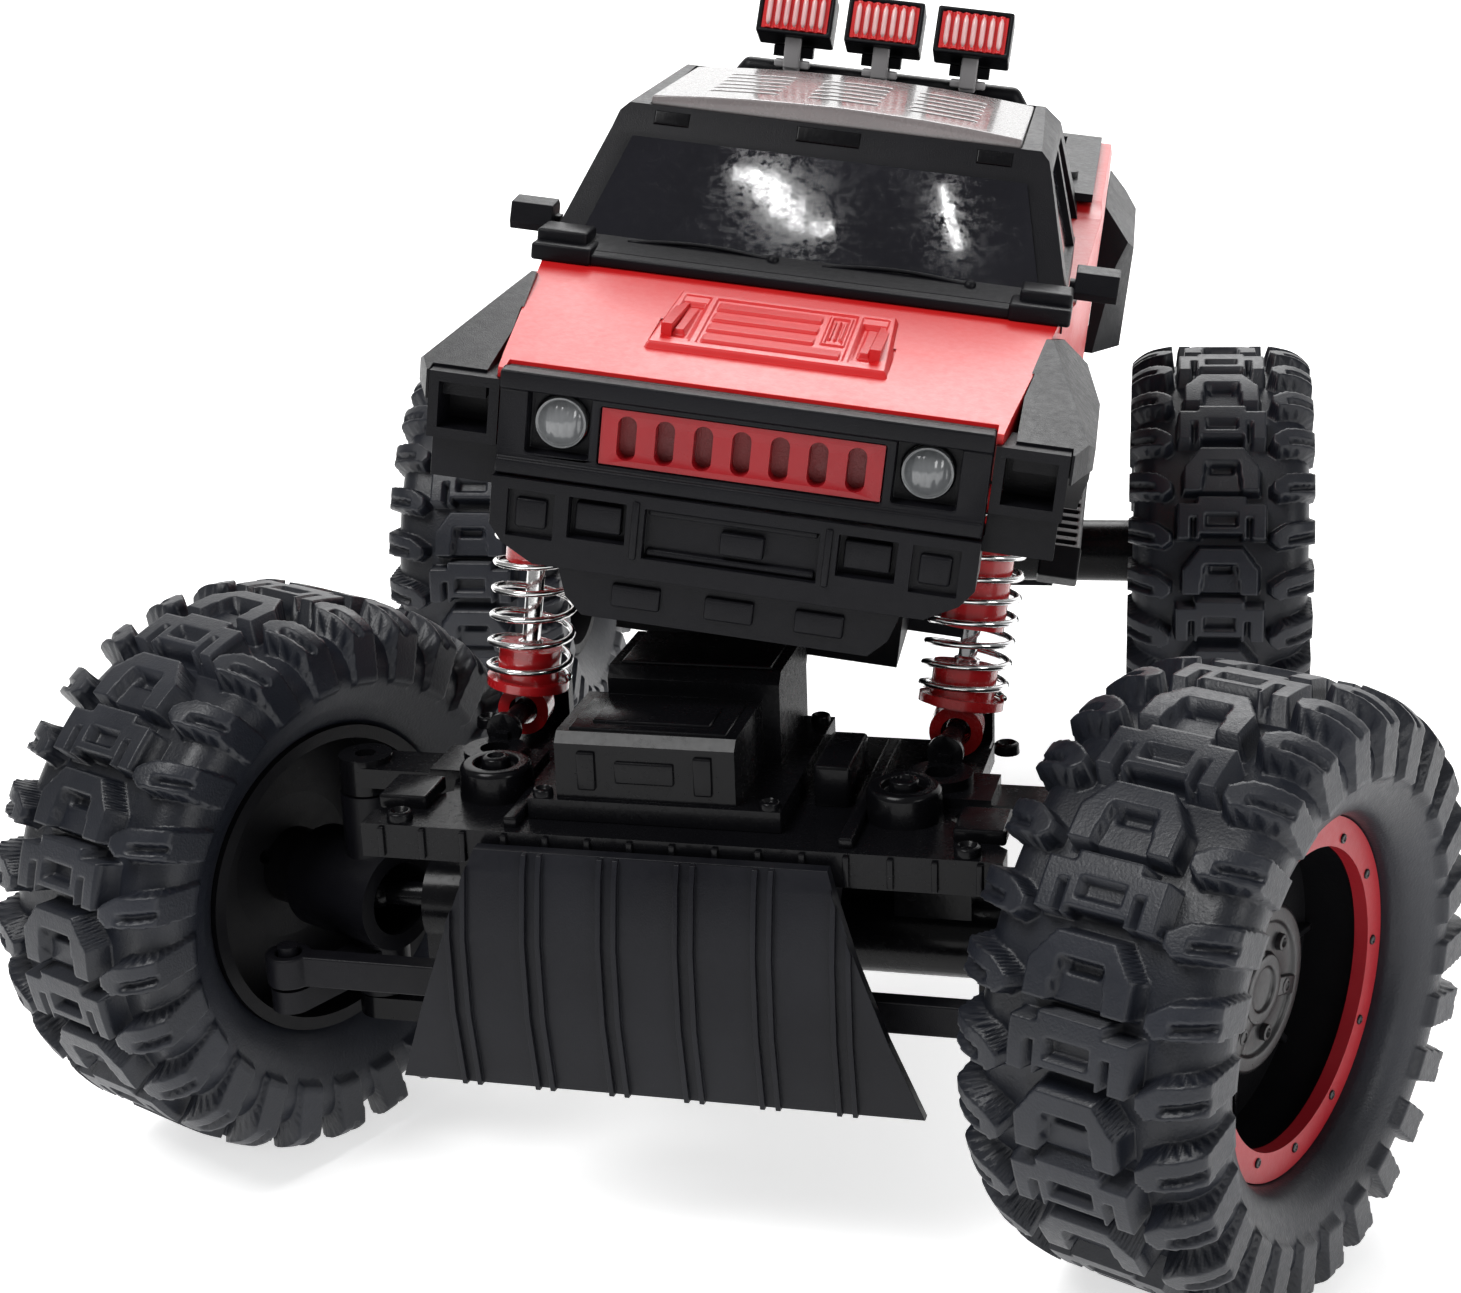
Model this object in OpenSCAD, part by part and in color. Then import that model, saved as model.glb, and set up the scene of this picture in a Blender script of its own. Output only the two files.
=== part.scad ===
// Four-wheel remote control rock crawler with a pickup body, steered front wheels and
// two axles that rock on pivot pins under the chassis. Millimetres. +Z is up, the front
// faces -Y, +X is the vehicle's left side and the ground is z = 0.
// The rest state is a lean: the body is tipped to its left and the wheels are steered.

/* [Stance] */
// Distance between the axles
wheelbase = 186; // [160:1:210]
// Shift of the whole car along Y that centres its outline
shift_y = 6.4; // [-20:0.1:20]
// Lean of the body about its lengthwise axis at rest
lean = 7.73; // [0:0.01:12]
// Height of the lean axis and of the rear pivot pin
pivot_z = 60; // [50:1:75]
// Rise of the front pivot pin towards the rear
pin_rise = 30; // [0:1:40]
// Steering angle of the front wheels at rest
steer = -24.4; // [-30:0.1:30]

/* [Wheels] */
// Radius over the tread lugs
tyre_r = 43; // [35:0.5:50]
// Width of the tyre
tyre_w = 36; // [28:1:42]
// Half the track, wheel centre to car centre
half_track = 75.5; // [65:0.5:85]
// Radius of the rim barrel outside the bead
rim_r = 24; // [20:0.5:28]
// Outer radius of the bead ring
bead_r = 25.2; // [22:0.1:29]
// Offset of the bead ring from the wheel's centre plane
bead_x = 10; // [6:0.5:16]
// Number of lugs in each tread row
lug_count = 26; // [18:2:32]
// Depth of the tread lugs
lug_h = 4.2; // [2:0.1:6]

/* [Axles] */
// Distance from a kingpin to the wheel's centre plane
kingpin_offset = 22; // [16:0.5:28]
// Radius of the axle tube
tube_r = 6.5; // [5:0.5:9]
// Length of the steering arms
arm_l = 18.5; // [14:0.5:22]
// Teeth of the axle gear
gear_teeth = 32; // [24:1:40]
// Teeth of the motor pinion
pinion_teeth = 14; // [10:1:18]
// Gear module
gear_m = 0.7; // [0.5:0.05:1]
// Thickness of the gears
gear_w = 5; // [3:0.5:8]

/* [Shocks] */
// Radius of the upper shock cylinder
shock_r = 4.7; // [3.5:0.1:6]
// Radius of the shock rod
rod_r = 1.3; // [1:0.1:2]
// Mean radius of the coil spring
coil_r = 6.1; // [5:0.1:8]
// Radius of the spring wire
wire_r = 0.5; // [0.3:0.05:1]
// Number of turns of the coil spring
coil_turns = 9; // [6:1:12]
// Sideways position of the shocks
shock_x = 33; // [28:0.5:38]

/* [Body] */
// Half width of the doors
door_x = 41; // [36:0.5:46]
// Wall thickness of the moulded shells
wall = 1.6; // [1:0.1:3]
// Height of the hood at the cowl
hood_z = 129; // [120:1:135]
// Height of the hood at its front edge
nose_z = 123.5; // [115:0.5:130]
// Height of the bed rails
rail_z = 134.5; // [128:0.5:140]
// Height of the bed floor
bed_z = 117.8; // [116:0.2:124]
// Height of the roof panel
roof_z = 151.5; // [145:0.5:158]
// Front face of the grille frame
nose_y = -103; // [-110:1:-95]
// Rear end of the body
tail_y = 111; // [100:1:125]

/* [Chassis] */
// Underside of the chassis tray
tray_z = 74; // [68:1:80]
// Half width of the tray
tray_x = 31.5; // [26:0.5:36]
// Radius of the axle pivot pins
pin_r = 3; // [2:0.25:4]
// Radial running clearance of pins and shafts
play = 0.06; // [0.01:0.01:0.1]

/* [Hidden] */
fy = -wheelbase / 2;
ry = wheelbase / 2;
front_pin = [0, fy + 21, 74];
pin_dir = [0, cos(pin_rise), sin(pin_rise)];
roll_f = -atan(tan(lean) / cos(pin_rise));
kx = half_track - kingpin_offset;
gear_gap = (gear_teeth + pinion_teeth) / 2 * gear_m;
eye_top = 111;
eye_low = 25.6;
gear_x = 6;
skid_x = -2.8;

black = [0.04, 0.04, 0.045];
dark = [0.09, 0.09, 0.1];
red = [0.75, 0.03, 0.03];
steel = [0.7, 0.7, 0.72];
rubber = [0.05, 0.055, 0.07];

// ---- frames ----
// the whole car shifted along Y
module car() translate([0, shift_y, 0]) children();

// the leaning body and chassis
module on_body() {
  car() translate([0, 0, pivot_z]) rotate([0, lean, 0]) translate([0, 0, -pivot_z]) children();
}

// the front axle, turned about its sloping pivot pin
module on_front() {
  on_body() translate(front_pin) rotate(a = roll_f, v = pin_dir) translate(-front_pin) children();
}

// the rear axle, which stays level
module on_rear() car() children();

// a front knuckle: origin on the kingpin at wheel height, side +1 is the left
module on_knuckle(side) {
  on_front() translate([side * kx, fy, tyre_r]) rotate([0, 0, steer]) children();
}

// wheel frames: origin at the wheel centre, +X outwards
module on_wheel_front(side) {
  on_knuckle(side) translate([side * kingpin_offset, 0, 0]) mirror([side < 0 ? 1 : 0, 0, 0]) children();
}
module on_wheel_rear(side) {
  on_rear() translate([side * half_track, ry, tyre_r]) mirror([side < 0 ? 1 : 0, 0, 0]) children();
}

// points carried by those frames, used to aim the shocks
function spin_y(p, a) = [p[0] * cos(a) + p[2] * sin(a), p[1], -p[0] * sin(a) + p[2] * cos(a)];
function body_pt(p) = spin_y(p - [0, 0, pivot_z], lean) + [0, shift_y, pivot_z];
function spin_v(p, v, a) = p * cos(a) + cross(v, p) * sin(a) + v * (v * p) * (1 - cos(a));
function front_pt(p) = body_pt(spin_v(p - front_pin, pin_dir, roll_f) + front_pin);
function rear_pt(p) = p + [0, shift_y, 0];
function top_pt(side, fore) = body_pt([side * shock_x, fore * 72, eye_top]);
function low_pt(side, fore) = fore < 0
  ? front_pt([side * shock_x, fore * 78, tyre_r + eye_low])
  : rear_pt([side * shock_x, fore * 78, tyre_r + eye_low]);

function shock_dir(side, fore) = (top_pt(side, fore) - low_pt(side, fore)) / shock_len(side, fore);
// tilt of a shock along the car, which its two eyes make up for
function shock_tilt(side, fore) = asin(shock_dir(side, fore)[1]);
// a shock: origin at the lower eye, +Z towards the upper eye
module on_shock(side, fore) {
  u = shock_dir(side, fore);
  translate(low_pt(side, fore)) rotate([-asin(u[1]), atan2(u[0], u[2]), 0]) children();
}
function shock_len(side, fore) = norm(top_pt(side, fore) - low_pt(side, fore));

// ---- helpers ----
module box(x0, x1, y0, y1, z0, z1) translate([x0, y0, z0]) cube([x1 - x0, y1 - y0, z1 - z0]);
module both() {
  children();
  mirror([1, 0, 0]) children();
}
// a side profile in (y, z) extruded between two x values
module side_slab(x0, x1, pts) {
  translate([x0, 0, 0]) rotate([90, 0, 90]) linear_extrude(x1 - x0) polygon(pts);
}
// a front profile in (x, z) extruded between two y values
module front_slab(y0, y1, pts) {
  translate([0, y1, 0]) rotate([90, 0, 0]) linear_extrude(y1 - y0) polygon(pts);
}
// a plan profile in (x, y) extruded between two heights
module plan_slab(z0, z1, pts) translate([0, 0, z0]) linear_extrude(z1 - z0) polygon(pts);
module rod_x(x0, x1, r, y = 0, z = 0) {
  translate([x0, y, z]) rotate([0, 90, 0]) cylinder(h = x1 - x0, r = r, $fn = 48);
}
module rod_y(y0, y1, r, x = 0, z = 0) {
  translate([x, y0, z]) rotate([-90, 0, 0]) cylinder(h = y1 - y0, r = r, $fn = 48);
}
module rod_z(z0, z1, r, x = 0, y = 0) {
  translate([x, y, z0]) cylinder(h = z1 - z0, r = r, $fn = 48);
}
module sym_x(pts0) polygon(concat(pts0, [for (i = [len(pts0) - 1:-1:0]) [-pts0[i][0], pts0[i][1]]]));
module front_sym(y0, y1, pts0) {
  translate([0, y1, 0]) rotate([90, 0, 0]) linear_extrude(y1 - y0) sym_x(pts0);
}

// ---- body ----
// the solid outline of the red shell: side profile cut by front and plan profiles
module shell_form(t) {
  intersection() {
    side_slab(-60, 60, [[nose_y + 3 + t, 104 - 2 * abs(t)], [nose_y + 3 + t, nose_z - 1 - t],
      [nose_y + 8 + t, nose_z - t], [-54, hood_z - t], [-44, hood_z + 0.6 - t], [16, rail_z - 2 - t],
      [24, rail_z - t], [tail_y - t, rail_z - 2 - t], [tail_y - t, 104 - 2 * abs(t)]]);
    plan_slab(90, 150, [[-34 + t, nose_y], [34 - t, nose_y], [39 - t, -56], [door_x - t, -44],
      [door_x + 2.5 - t, 30], [door_x + 2.5 - t, tail_y], [-door_x - 2.5 + t, tail_y],
      [-door_x - 2.5 + t, 30], [-door_x + t, -44], [-39 + t, -56]]);
    front_sym(-120, 120, [[0, 90], [46 - t, 90], [46 - t, 118], [42.5 - t, rail_z + 1], [0, rail_z + 1]]);
  }
}
module body_shell() color(red) on_body() {
  difference() {
    shell_form(0);
    shell_form(wall);
    // cab opening, bed opening and wheel arches
    box(-35.5, 35.5, -52, 19, 110, 160);
    box(-36, 36, 22, 104, 106, 160);
    rod_x(-60, 60, 34, fy, 82);
    rod_x(-60, 60, 34, ry, 82);
    // grille, cowl and tail openings
    box(-33.4, 33.4, nose_y - 1, nose_y + 5.7, 100, nose_z + 2);
    box(-60, 60, -112, -58, 100, 116);
    box(-36, 36, tail_y - 3, tail_y + 1, 106, 112);
    both() box(37.1, 42.7, tail_y - 0.9, tail_y + 1, 111.9, 126.1);
    // hood scoops and slats
    both() box(12.5, 17, -84, -64, 122, 126.2);
    for (y = [-80, -75.5, -71, -66.5]) box(-8.5, 8.5, y, y + 1.6, 122, 127.6);
  }
  // scoop fins
  both() box(14, 15.5, -83, -65, 124.2, 127.6);
}

module cab_frame() color(black) on_body() {
  difference() {
    union() {
      // greenhouse block
      intersection() {
        side_slab(-50, 50, [[-54.5, hood_z - 2], [-54.5, hood_z + 1.6], [-46.5, 131.6],
          [-32.5, 146], [-30.5, roof_z - 1.8], [12, roof_z - 0.4], [17, roof_z - 4],
          [21.5, 136.5], [21.5, 127]]);
        front_sym(-60, 60, [[0, 110], [40.2, 110], [39.4, 131], [33.8, 148.4], [30.9, 151.2], [0, 151.2]]);
      }
      // cowl panel between hood and screen
      side_slab(-38.5, 38.5, [[-56.5, hood_z + 0.1], [-56.5, hood_z + 1.2], [-47, 131.8],
        [-47, hood_z + 0.4]]);
    }
    // hollow cabin
    intersection() {
      side_slab(-50, 50, [[-52.5, 100], [-52.5, hood_z - 0.5], [-44.5, 130.2], [-30.8, 144.4],
        [-29.5, roof_z - 4.4], [12, roof_z - 3.6], [14.6, roof_z - 5.4], [18.8, 136.5], [18.8, 100]]);
      front_sym(-60, 60, [[0, 100], [38, 100], [37.4, 131], [31.6, 147.3], [30.4, 148.1], [0, 148.1]]);
    }
    // windscreen opening
    both() plan_slab(120, 160, [[-0.1, -47.5], [-0.1, -33.9], [31, -33.9], [34.9, -46.2], [34.9, -47.5]]);
    // roof recess, side windows and rear window
    box(-29.4, 29.4, -30, 11.5, roof_z - 2.2, 160);
    side_slab(-60, 60, [[-38.5, 131.8], [-27.5, 146.3], [9, 146.8], [14.5, 134], [14.5, 131.8]]);
    front_sym(10, 30, [[0, 134], [26, 134], [23, 146], [0, 146]]);
    // seat on the red shell
    shell_form(-0.05);
  }
  // pillar between the side windows
  both() intersection() {
    side_slab(30, 45, [[-7.8, 131.64], [-5, 148], [-1.8, 148], [-2.4, 131.64]]);
    front_sym(-60, 60, [[37, 131], [39.4, 131], [33.8, 148.4], [31.4, 148.4]]);
  }
  // bed liner: floor, walls and rail caps
  difference() {
    union() {
      box(-35.8, 35.8, 22.2, 103.8, bed_z - 1.6, rail_z - 2.5);
      both() side_slab(33.6, 41, [[20.5, rail_z + 0.1], [108, rail_z - 1.7], [108, rail_z - 0.4],
        [20.5, rail_z + 1.5]]);
      both() side_slab(33.6, 35.8, [[22.2, rail_z - 4], [103.8, rail_z - 5], [103.8, rail_z - 0.8],
        [22.2, rail_z + 1]]);
      side_slab(-41, 41, [[101.8, rail_z - 1.55], [108, rail_z - 1.7], [108, rail_z - 0.4],
        [101.8, rail_z - 0.3]]);
      side_slab(-35.8, 35.8, [[102, rail_z - 5], [103.8, rail_z - 5], [103.8, rail_z - 1],
        [102, rail_z - 1]]);
      box(-35.8, 35.8, 20.5, 24, rail_z + 0.1, rail_z + 1.5);
    }
    box(-34, 34, 24, 102, bed_z, 160);
  }
}

module roof_panel() color(dark) on_body() difference() {
  // crowned strip profile
  front_sym(-29.7, 11.2, [[0, roof_z - 2.1], [29.2, roof_z - 2.1], [29.2, roof_z - 0.5],
    [26, roof_z - 0.2], [20, roof_z + 0.3], [13, roof_z + 0.7], [6, roof_z + 0.9], [0, roof_z + 1]]);
  for (x = [-16, 0, 16]) for (y = [-22, -17.5, -13, -8.5, -4, 0.5])
    box(x - 5.4, x + 5.4, y, y + 1.5, roof_z - 0.5, roof_z + 3);
}

module windscreen() color([0.05, 0.06, 0.08, 0.6]) on_body() intersection() {
  side_slab(-50, 50, [[-47.4, 130.6], [-47.4, 131.4], [-34.1, 145.1], [-34.1, 144.1], [-45.6, 131.9],
    [-45.6, 130.6]]);
  plan_slab(120, 160, [[-34.8, -60], [-34.8, -46.1], [-30.9, -34], [30.9, -34], [34.8, -46.1], [34.8, -60]]);
}

module side_windows() color([0.05, 0.06, 0.08, 0.6]) on_body() {
  both() difference() {
    intersection() {
      side_slab(20, 60, [[-38.3, 131.9], [-27.4, 146.2], [8.9, 146.7], [14.4, 134], [14.4, 131.9]]);
      front_sym(-60, 60, [[37.1, 131.9], [38.3, 131.9], [33.4, 146.8], [32.2, 146.8]]);
    }
    box(20, 45, -8, -1.6, 120, 160);
    shell_form(-0.1);
  }
  intersection() {
    front_sym(10, 30, [[0, 134.1], [25.8, 134.1], [22.8, 145.9], [0, 145.9]]);
    side_slab(-40, 40, [[16, 145.9], [17.2, 145.9], [20, 134.1], [18.9, 134.1]]);
  }
}

module fender_flares() color(black) on_body() {
  for (fore = [-1, 1]) both() {
    yc = fore * wheelbase / 2;
    difference() {
      intersection() {
        if (fore < 0) side_slab(36, 47, [[-101, 112], [-101, 121.2], [-66, 128.4], [-58, 127],
          [-52, 118], [-50, 104], [-58, 102]]);
        else side_slab(36, 50.5, [[48, 102], [52, 118], [60, 128], [108, 127.5], [110.8, 118], [110.8, 104],
          [100, 102]]);
        if (fore < 0) plan_slab(100, 130, [[34, -102], [43.5, -102], [46.5, -95], [46.5, -70],
          [43, -50], [38.2, -50], [38.2, -60]]);
        else plan_slab(100, 130, [[41, 46], [44, 46], [50, 58], [50, 104], [46, 112], [41, 112]]);
        if (fore < 0) front_sym(-120, 0, [[0, 100], [46.5, 100], [46.5, 121], [38.5, 128.5], [0, 128.5]]);
        else front_sym(0, 120, [[0, 100], [50, 100], [50, 121], [43, 128.5], [0, 128.5]]);
      }
      // keep clear of the red shell and of the wheel
      shell_form(-0.15);
      rod_x(30, 60, 36, yc, 82);
      if (fore < 0) box(30, 43.6, -120, -99, 100, 130);
    }
    // lamp box at the front corner
    if (fore < 0) difference() {
      box(33.6, 43.4, -101.5, -93, 112, 121.2);
      box(35, 42, -102, -95, 113.4, 119.8);
      shell_form(-0.15);
    }
  }
}

module grille_frame() color(black) on_body() difference() {
  union() {
    box(-33.3, 33.3, nose_y + 0.6, nose_y + 5.6, 109, 122.6);
    box(-33.3, 33.3, nose_y, nose_y + 3, 120.4, 123);
    box(-33.3, 33.3, nose_y, nose_y + 3, 108.6, 110.8);
  }
  box(-19.4, 19.4, nose_y - 1, nose_y + 9, 111.4, 119.6);
  both() box(20.6, 29.4, nose_y - 1, nose_y + 3.4, 111.8, 120.4);
  both() rod_y(nose_y, nose_y + 9, 3.6, 25, 116.1);
}

module grille_insert() color(red) on_body() difference() {
  box(-19.2, 19.2, nose_y + 1, nose_y + 4.4, 111.6, 119.4);
  for (i = [-3:3]) {
    box(i * 5.2 - 1.3, i * 5.2 + 1.3, nose_y, nose_y + 3.4, 113.7, 117.3);
    rod_y(nose_y, nose_y + 3.4, 1.3, i * 5.2, 113.7);
    rod_y(nose_y, nose_y + 3.4, 1.3, i * 5.2, 117.3);
  }
}

module headlights() color([0.85, 0.87, 0.9]) on_body() both() translate([25, nose_y + 5.4, 116.1])
  rotate([90, 0, 0]) {
    cylinder(h = 3, r = 3.5, $fn = 48);
    translate([0, 0, 2.9]) intersection() {
      translate([0, 0, -3]) sphere(r = 4.9, $fn = 48);
      cylinder(h = 3, r = 3.3, $fn = 48);
    }
  }

module front_bumper() color(black) on_body() difference() {
  union() {
    front_sym(nose_y - 0.5, nose_y + 9, [[0, 96.5], [27, 96.5], [31.5, 99], [33.4, 101.5], [33.4, 108.3],
      [0, 108.3]]);
    front_sym(nose_y + 1.5, nose_y + 7, [[0, 89.5], [20, 89.5], [22.5, 92], [24, 96.7], [0, 96.7]]);
    both() box(33, 43, nose_y + 3.5, nose_y + 8, 106, 108.3);
    both() box(33.5, 43, nose_y + 3.5, nose_y + 8, 108, 111.6);
  }
  // corner panels, centre recess and tabs
  both() box(24.5, 31, nose_y - 1, nose_y + 0.6, 100.2, 106.8);
  box(-12, 12, nose_y - 1, nose_y + 1.2, 99.5, 106.5);
  both() box(14.5, 22.5, nose_y - 1, nose_y + 1.8, 101, 106.8);
  box(-30, 30, nose_y + 3.4, nose_y + 10, 98, 108.4);
}

module rear_bumper() color(black) on_body() difference() {
  union() {
    box(-40, 40, 104.5, 115.5, 97, 105.8);
    box(-20, 20, 106, 113, 92, 97.2);
  }
  box(-36, 36, 103, 113.4, 98.4, 104.4);
  box(-13, 13, 114.4, 116, 99, 104.2);
}

module mirrors() color(black) on_body() both() {
  box(39.6, 42.5, -43.2, -40.6, 131.2, 132.8);
  difference() {
    side_slab(40.4, 47, [[-45, 130.4], [-45.6, 131.6], [-45, 134.6], [-40.6, 135], [-39.6, 134.2],
      [-39.6, 130.8], [-40.6, 130.2]]);
    box(41.2, 46.2, -40.4, -39, 131, 134);
  }
}

module roof_bar() color(black) on_body() {
  // arched tube on two feet that stand on the rail caps
  rod_x(-24, 24, 1.9, 40, 148.4);
  difference() {
    both() {
      translate([24, 40, 148.4]) sphere(r = 1.9, $fn = 36);
      translate([24, 40, 148.4]) rotate([0, 145, 0]) cylinder(h = 15.6, r = 1.9, $fn = 36);
      rod_z(rail_z, rail_z + 2.4, 3.6, 34.2, 40);
    }
    side_slab(-50, 50, [[20, 120], [108, 120], [108, rail_z - 0.3], [20.5, rail_z + 1.6],
      [20, rail_z + 1.6]]);
  }
  // a bracket for each lamp
  for (x = [-16, 0, 16]) {
    box(x - 1.6, x + 1.6, 37, 39, 148, 152.5);
    box(x - 3.6, x + 3.6, 36.4, 38.4, 151.4, 153.3);
  }
}

// three boxes tilted back so that their lenses face up and forwards
module at_lamps() for (x = [-16, 0, 16]) translate([x, 38, 158.2]) rotate([-22, 0, 0]) children();
module lamp_housings() color(black) on_body() at_lamps() difference() {
  box(-6.8, 6.8, -4, 3.6, -4.2, 4.2);
  box(-6, 6, -5, 2.2, -3.4, 3.4);
}
module lamp_lenses() color(red) on_body() at_lamps() {
  box(-5.9, 5.9, -3.6, -2.2, -3.3, 3.3);
  for (i = [-3:3]) translate([i * 1.58, -3.6, -3.3]) cylinder(h = 6.6, r = 0.6, $fn = 24);
}

module tail_lights() color(red) on_body() both() difference() {
  box(37.2, 42.6, tail_y - 0.8, tail_y + 1.2, 112, 126);
  box(38, 41.8, tail_y + 0.6, tail_y + 2, 118.4, 119.6);
}

// ---- chassis ----
module pin_front(r, s0, s1) {
  translate(front_pin + pin_dir * s0) rotate([-(90 - pin_rise), 0, 0]) cylinder(h = s1 - s0, r = r, $fn = 48);
}
module chassis_tray() color(black) on_body() {
  difference() {
    union() {
      box(-tray_x, tray_x, -44, 44, tray_z, 101);
      box(-22, 22, -62, 62, tray_z, 101);
      // front pivot block
      side_slab(-8, 8, [[-60, 72], [-64.5, 69.1], [-71.5, 81.2], [-71.5, 92], [-60, 96]]);
    }
    box(-tray_x + 2, tray_x - 2, -42, 42, tray_z + 2, 102);
    box(-20, 20, -60.5, 60.5, tray_z + 2, 102);
    // battery hatch and switch slot
    box(-30.6, 30.6, -31, 31, tray_z - 1, tray_z + 3);
    box(-2.2, 2.2, 46, 54, tray_z - 1, tray_z + 3);
  }
  // front pin with its head
  difference() {
    pin_front(pin_r, -9, 10);
    box(-20, 20, -60.6, 0, 60, 90);
  }
  pin_front(5, -10.5, -8.9);
  // rear pivot bracket and pin
  side_slab(-9, 9, [[61, 53], [64, 52], [64, 90], [60, 90], [60, 74.5]]);
  rod_y(63, 77.4, pin_r, 0, pivot_z);
  rod_y(77.4, 78.8, 5, 0, pivot_z);
  // shock towers with their pins
  for (fore = [-1, 1]) {
    y0 = fore < 0 ? -64.6 : 59.6;
    difference() {
      box(-37.6, 37.6, y0, y0 + 5, 92, 115);
      both() front_slab(y0 - 1, y0 + 6, [[12, 97], [28, 116], [-1, 116], [-1, 97]]);
      both() front_slab(y0 - 1, y0 + 6, [[22.5, 91], [38, 91], [38, 106]]);
    }
    both() rod_y(fore < 0 ? -75.4 : 64, fore < 0 ? -64 : 75.4, 1.5, shock_x, eye_top);
    both() rod_y(fore < 0 ? -75.4 : 74.3, fore < 0 ? -74.3 : 75.4, 2.3, shock_x, eye_top);
  }
  // body posts
  both() for (y = [-38, 38]) box(25, 30, y - 3, y + 3, 100, 108);
  both() for (y = [-38, 38]) box(25, y < 0 ? 39.2 : 41.6, y - 3, y + 3, 107, 110);
  both() for (y = [-20, 20]) box(tray_x - 1, 41, y - 3, y + 3, 84, 87);
  both() box(20.5, 24.5, -99.4, -60, 101.5, 103.9);
  both() box(20.5, 24.5, 60, 107, 101.5, 103.9);
}

module battery_cover() color(black) on_body() difference() {
  union() {
    box(-30.4, 30.4, -30.8, 30.8, tray_z - 0.4, tray_z + 1.8);
    both() box(8, 22, -10, 10, tray_z - 1.2, tray_z - 0.2);
  }
  both() for (y = [-27, 27]) rod_z(tray_z - 2, tray_z + 0.6, 1.6, 26, y);
}

module battery_pack() color([0.1, 0.35, 0.2]) on_body()
  for (x = [-21.75, -7.25, 7.25, 21.75]) {
    rod_y(-24, 24, 7.1, x, tray_z + 9.6);
    rod_y(24, 25.2, 2.6, x, tray_z + 9.6);
  }

module circuit_board() color([0.05, 0.35, 0.12]) on_body() {
  box(-19, 19, -52, 38, 94, 95.6);
  both() for (y = [-50, 36]) box(14, 18, y - 2, y + 2, tray_z + 2.02, 94.1);
  box(-8, 6, -20, -8, 95.5, 98);
  box(8, 16, 4, 20, 95.5, 100);
  both() rod_z(95.5, 101, 2.6, 12, -34);
}

module power_switch() color(dark) on_body() {
  box(-2, 2, 47, 50.4, tray_z - 1.4, tray_z + 2.4);
  box(-5, 5, 46.6, 50.8, tray_z + 2.2, tray_z + 4.2);
}

module side_steps() color(black) on_body() both() {
  difference() {
    box(41, 47.4, -36, 34, 82.5, 87.2);
    for (y = [-33:4.5:30]) box(42, 46.4, y, y + 2.4, 86, 88);
  }
  side_slab(41, 47.4, [[-40, 85], [-36, 82.5], [-35.9, 87.2], [-38.5, 90]]);
}

// ---- axles ----
// every axle part is drawn about its own axle centre; fore = -1 is the front axle
module axle_tube(half) {
  // gear housing, tube and upright webs under the deck
  rod_x(gear_x - 5, gear_x + 5, 13.9);
  rod_x(-half, half, tube_r);
  both() box(27, 38, -5, 5, 0, 19);
}
// spaces for the shaft, the gear, the pinion and the motor
module axle_space() {
  rod_x(-70, 70, 3 + play);
  rod_x(gear_x - gear_w / 2 - 0.5, gear_x + gear_w / 2 + 0.5, 12.6);
  rod_x(gear_x - gear_w / 2 - 0.5, gear_x + gear_w / 2 + 0.5, 6.3, 0, gear_gap);
  box(-17.4, 4, -8.4, 8.4, 7.9, 14);
}
// lower ends of the shocks: a lug behind the deck with a long pin that the eye slides along
module shock_lugs(fore) both() mirror([0, fore > 0 ? 1 : 0, 0]) {
  box(29, 37, 23.6, 25.8, 18.5, 27.3);
  box(29, 37, 19, 25.8, 18.5, 20.6);
  rod_y(4, 24, 1.5, shock_x, eye_low);
  rod_y(4, 5.2, 2.6, shock_x, eye_low);
  // stem of the pin's front end
  box(32, 34, 3, 5, 21, 25.6);
}

module front_axle_case() color(black) on_front() translate([0, fy, tyre_r]) {
  difference() {
    union() {
      axle_tube(44);
      // top deck with the upper kingpin arms
      plan_slab(18.5, 21.5, [[-45, -23.5], [45, -23.5], [45, -19], [36, -10], [37.8, -4], [kx, -4],
        [kx, 4], [37.8, 4], [37.8, 20], [-37.8, 20], [-37.8, 4], [-kx, 4], [-kx, -4],
        [-37.8, -4], [-36, -10], [-45, -19]]);
      box(-45, 45, -23.5, -22, 16.5, 21.5);
      both() rod_z(17, 22.5, 4, kx, 0);
      // lower kingpin arms
      both() box(39, 44, -5, 5, -19.5, 2);
      both() box(39, kx, -4, 4, -19.5, -16);
      both() rod_z(-19.5, -16, 4, kx, 0);
      // raised bosses beside the motor box
      both() rod_z(21, 24.5, 4.6, shock_x, 0);
      both() box(26, 41, -6, 4, 21.3, 23);
    }
    axle_space();
    // room for the motor box, and bores for the kingpins and bosses
    box(-20, 12, -17, 19, 12.5, 30);
    both() rod_z(-25, 25, 1.5 + play, kx, 0);
    both() rod_z(21.8, 25, 2.2, shock_x, 0);
    // room under the lower shock eyes
    both() box(28.4, 37.6, 5.4, 21, 20.6, 24);
  }
  shock_lugs(-1);
}

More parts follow.
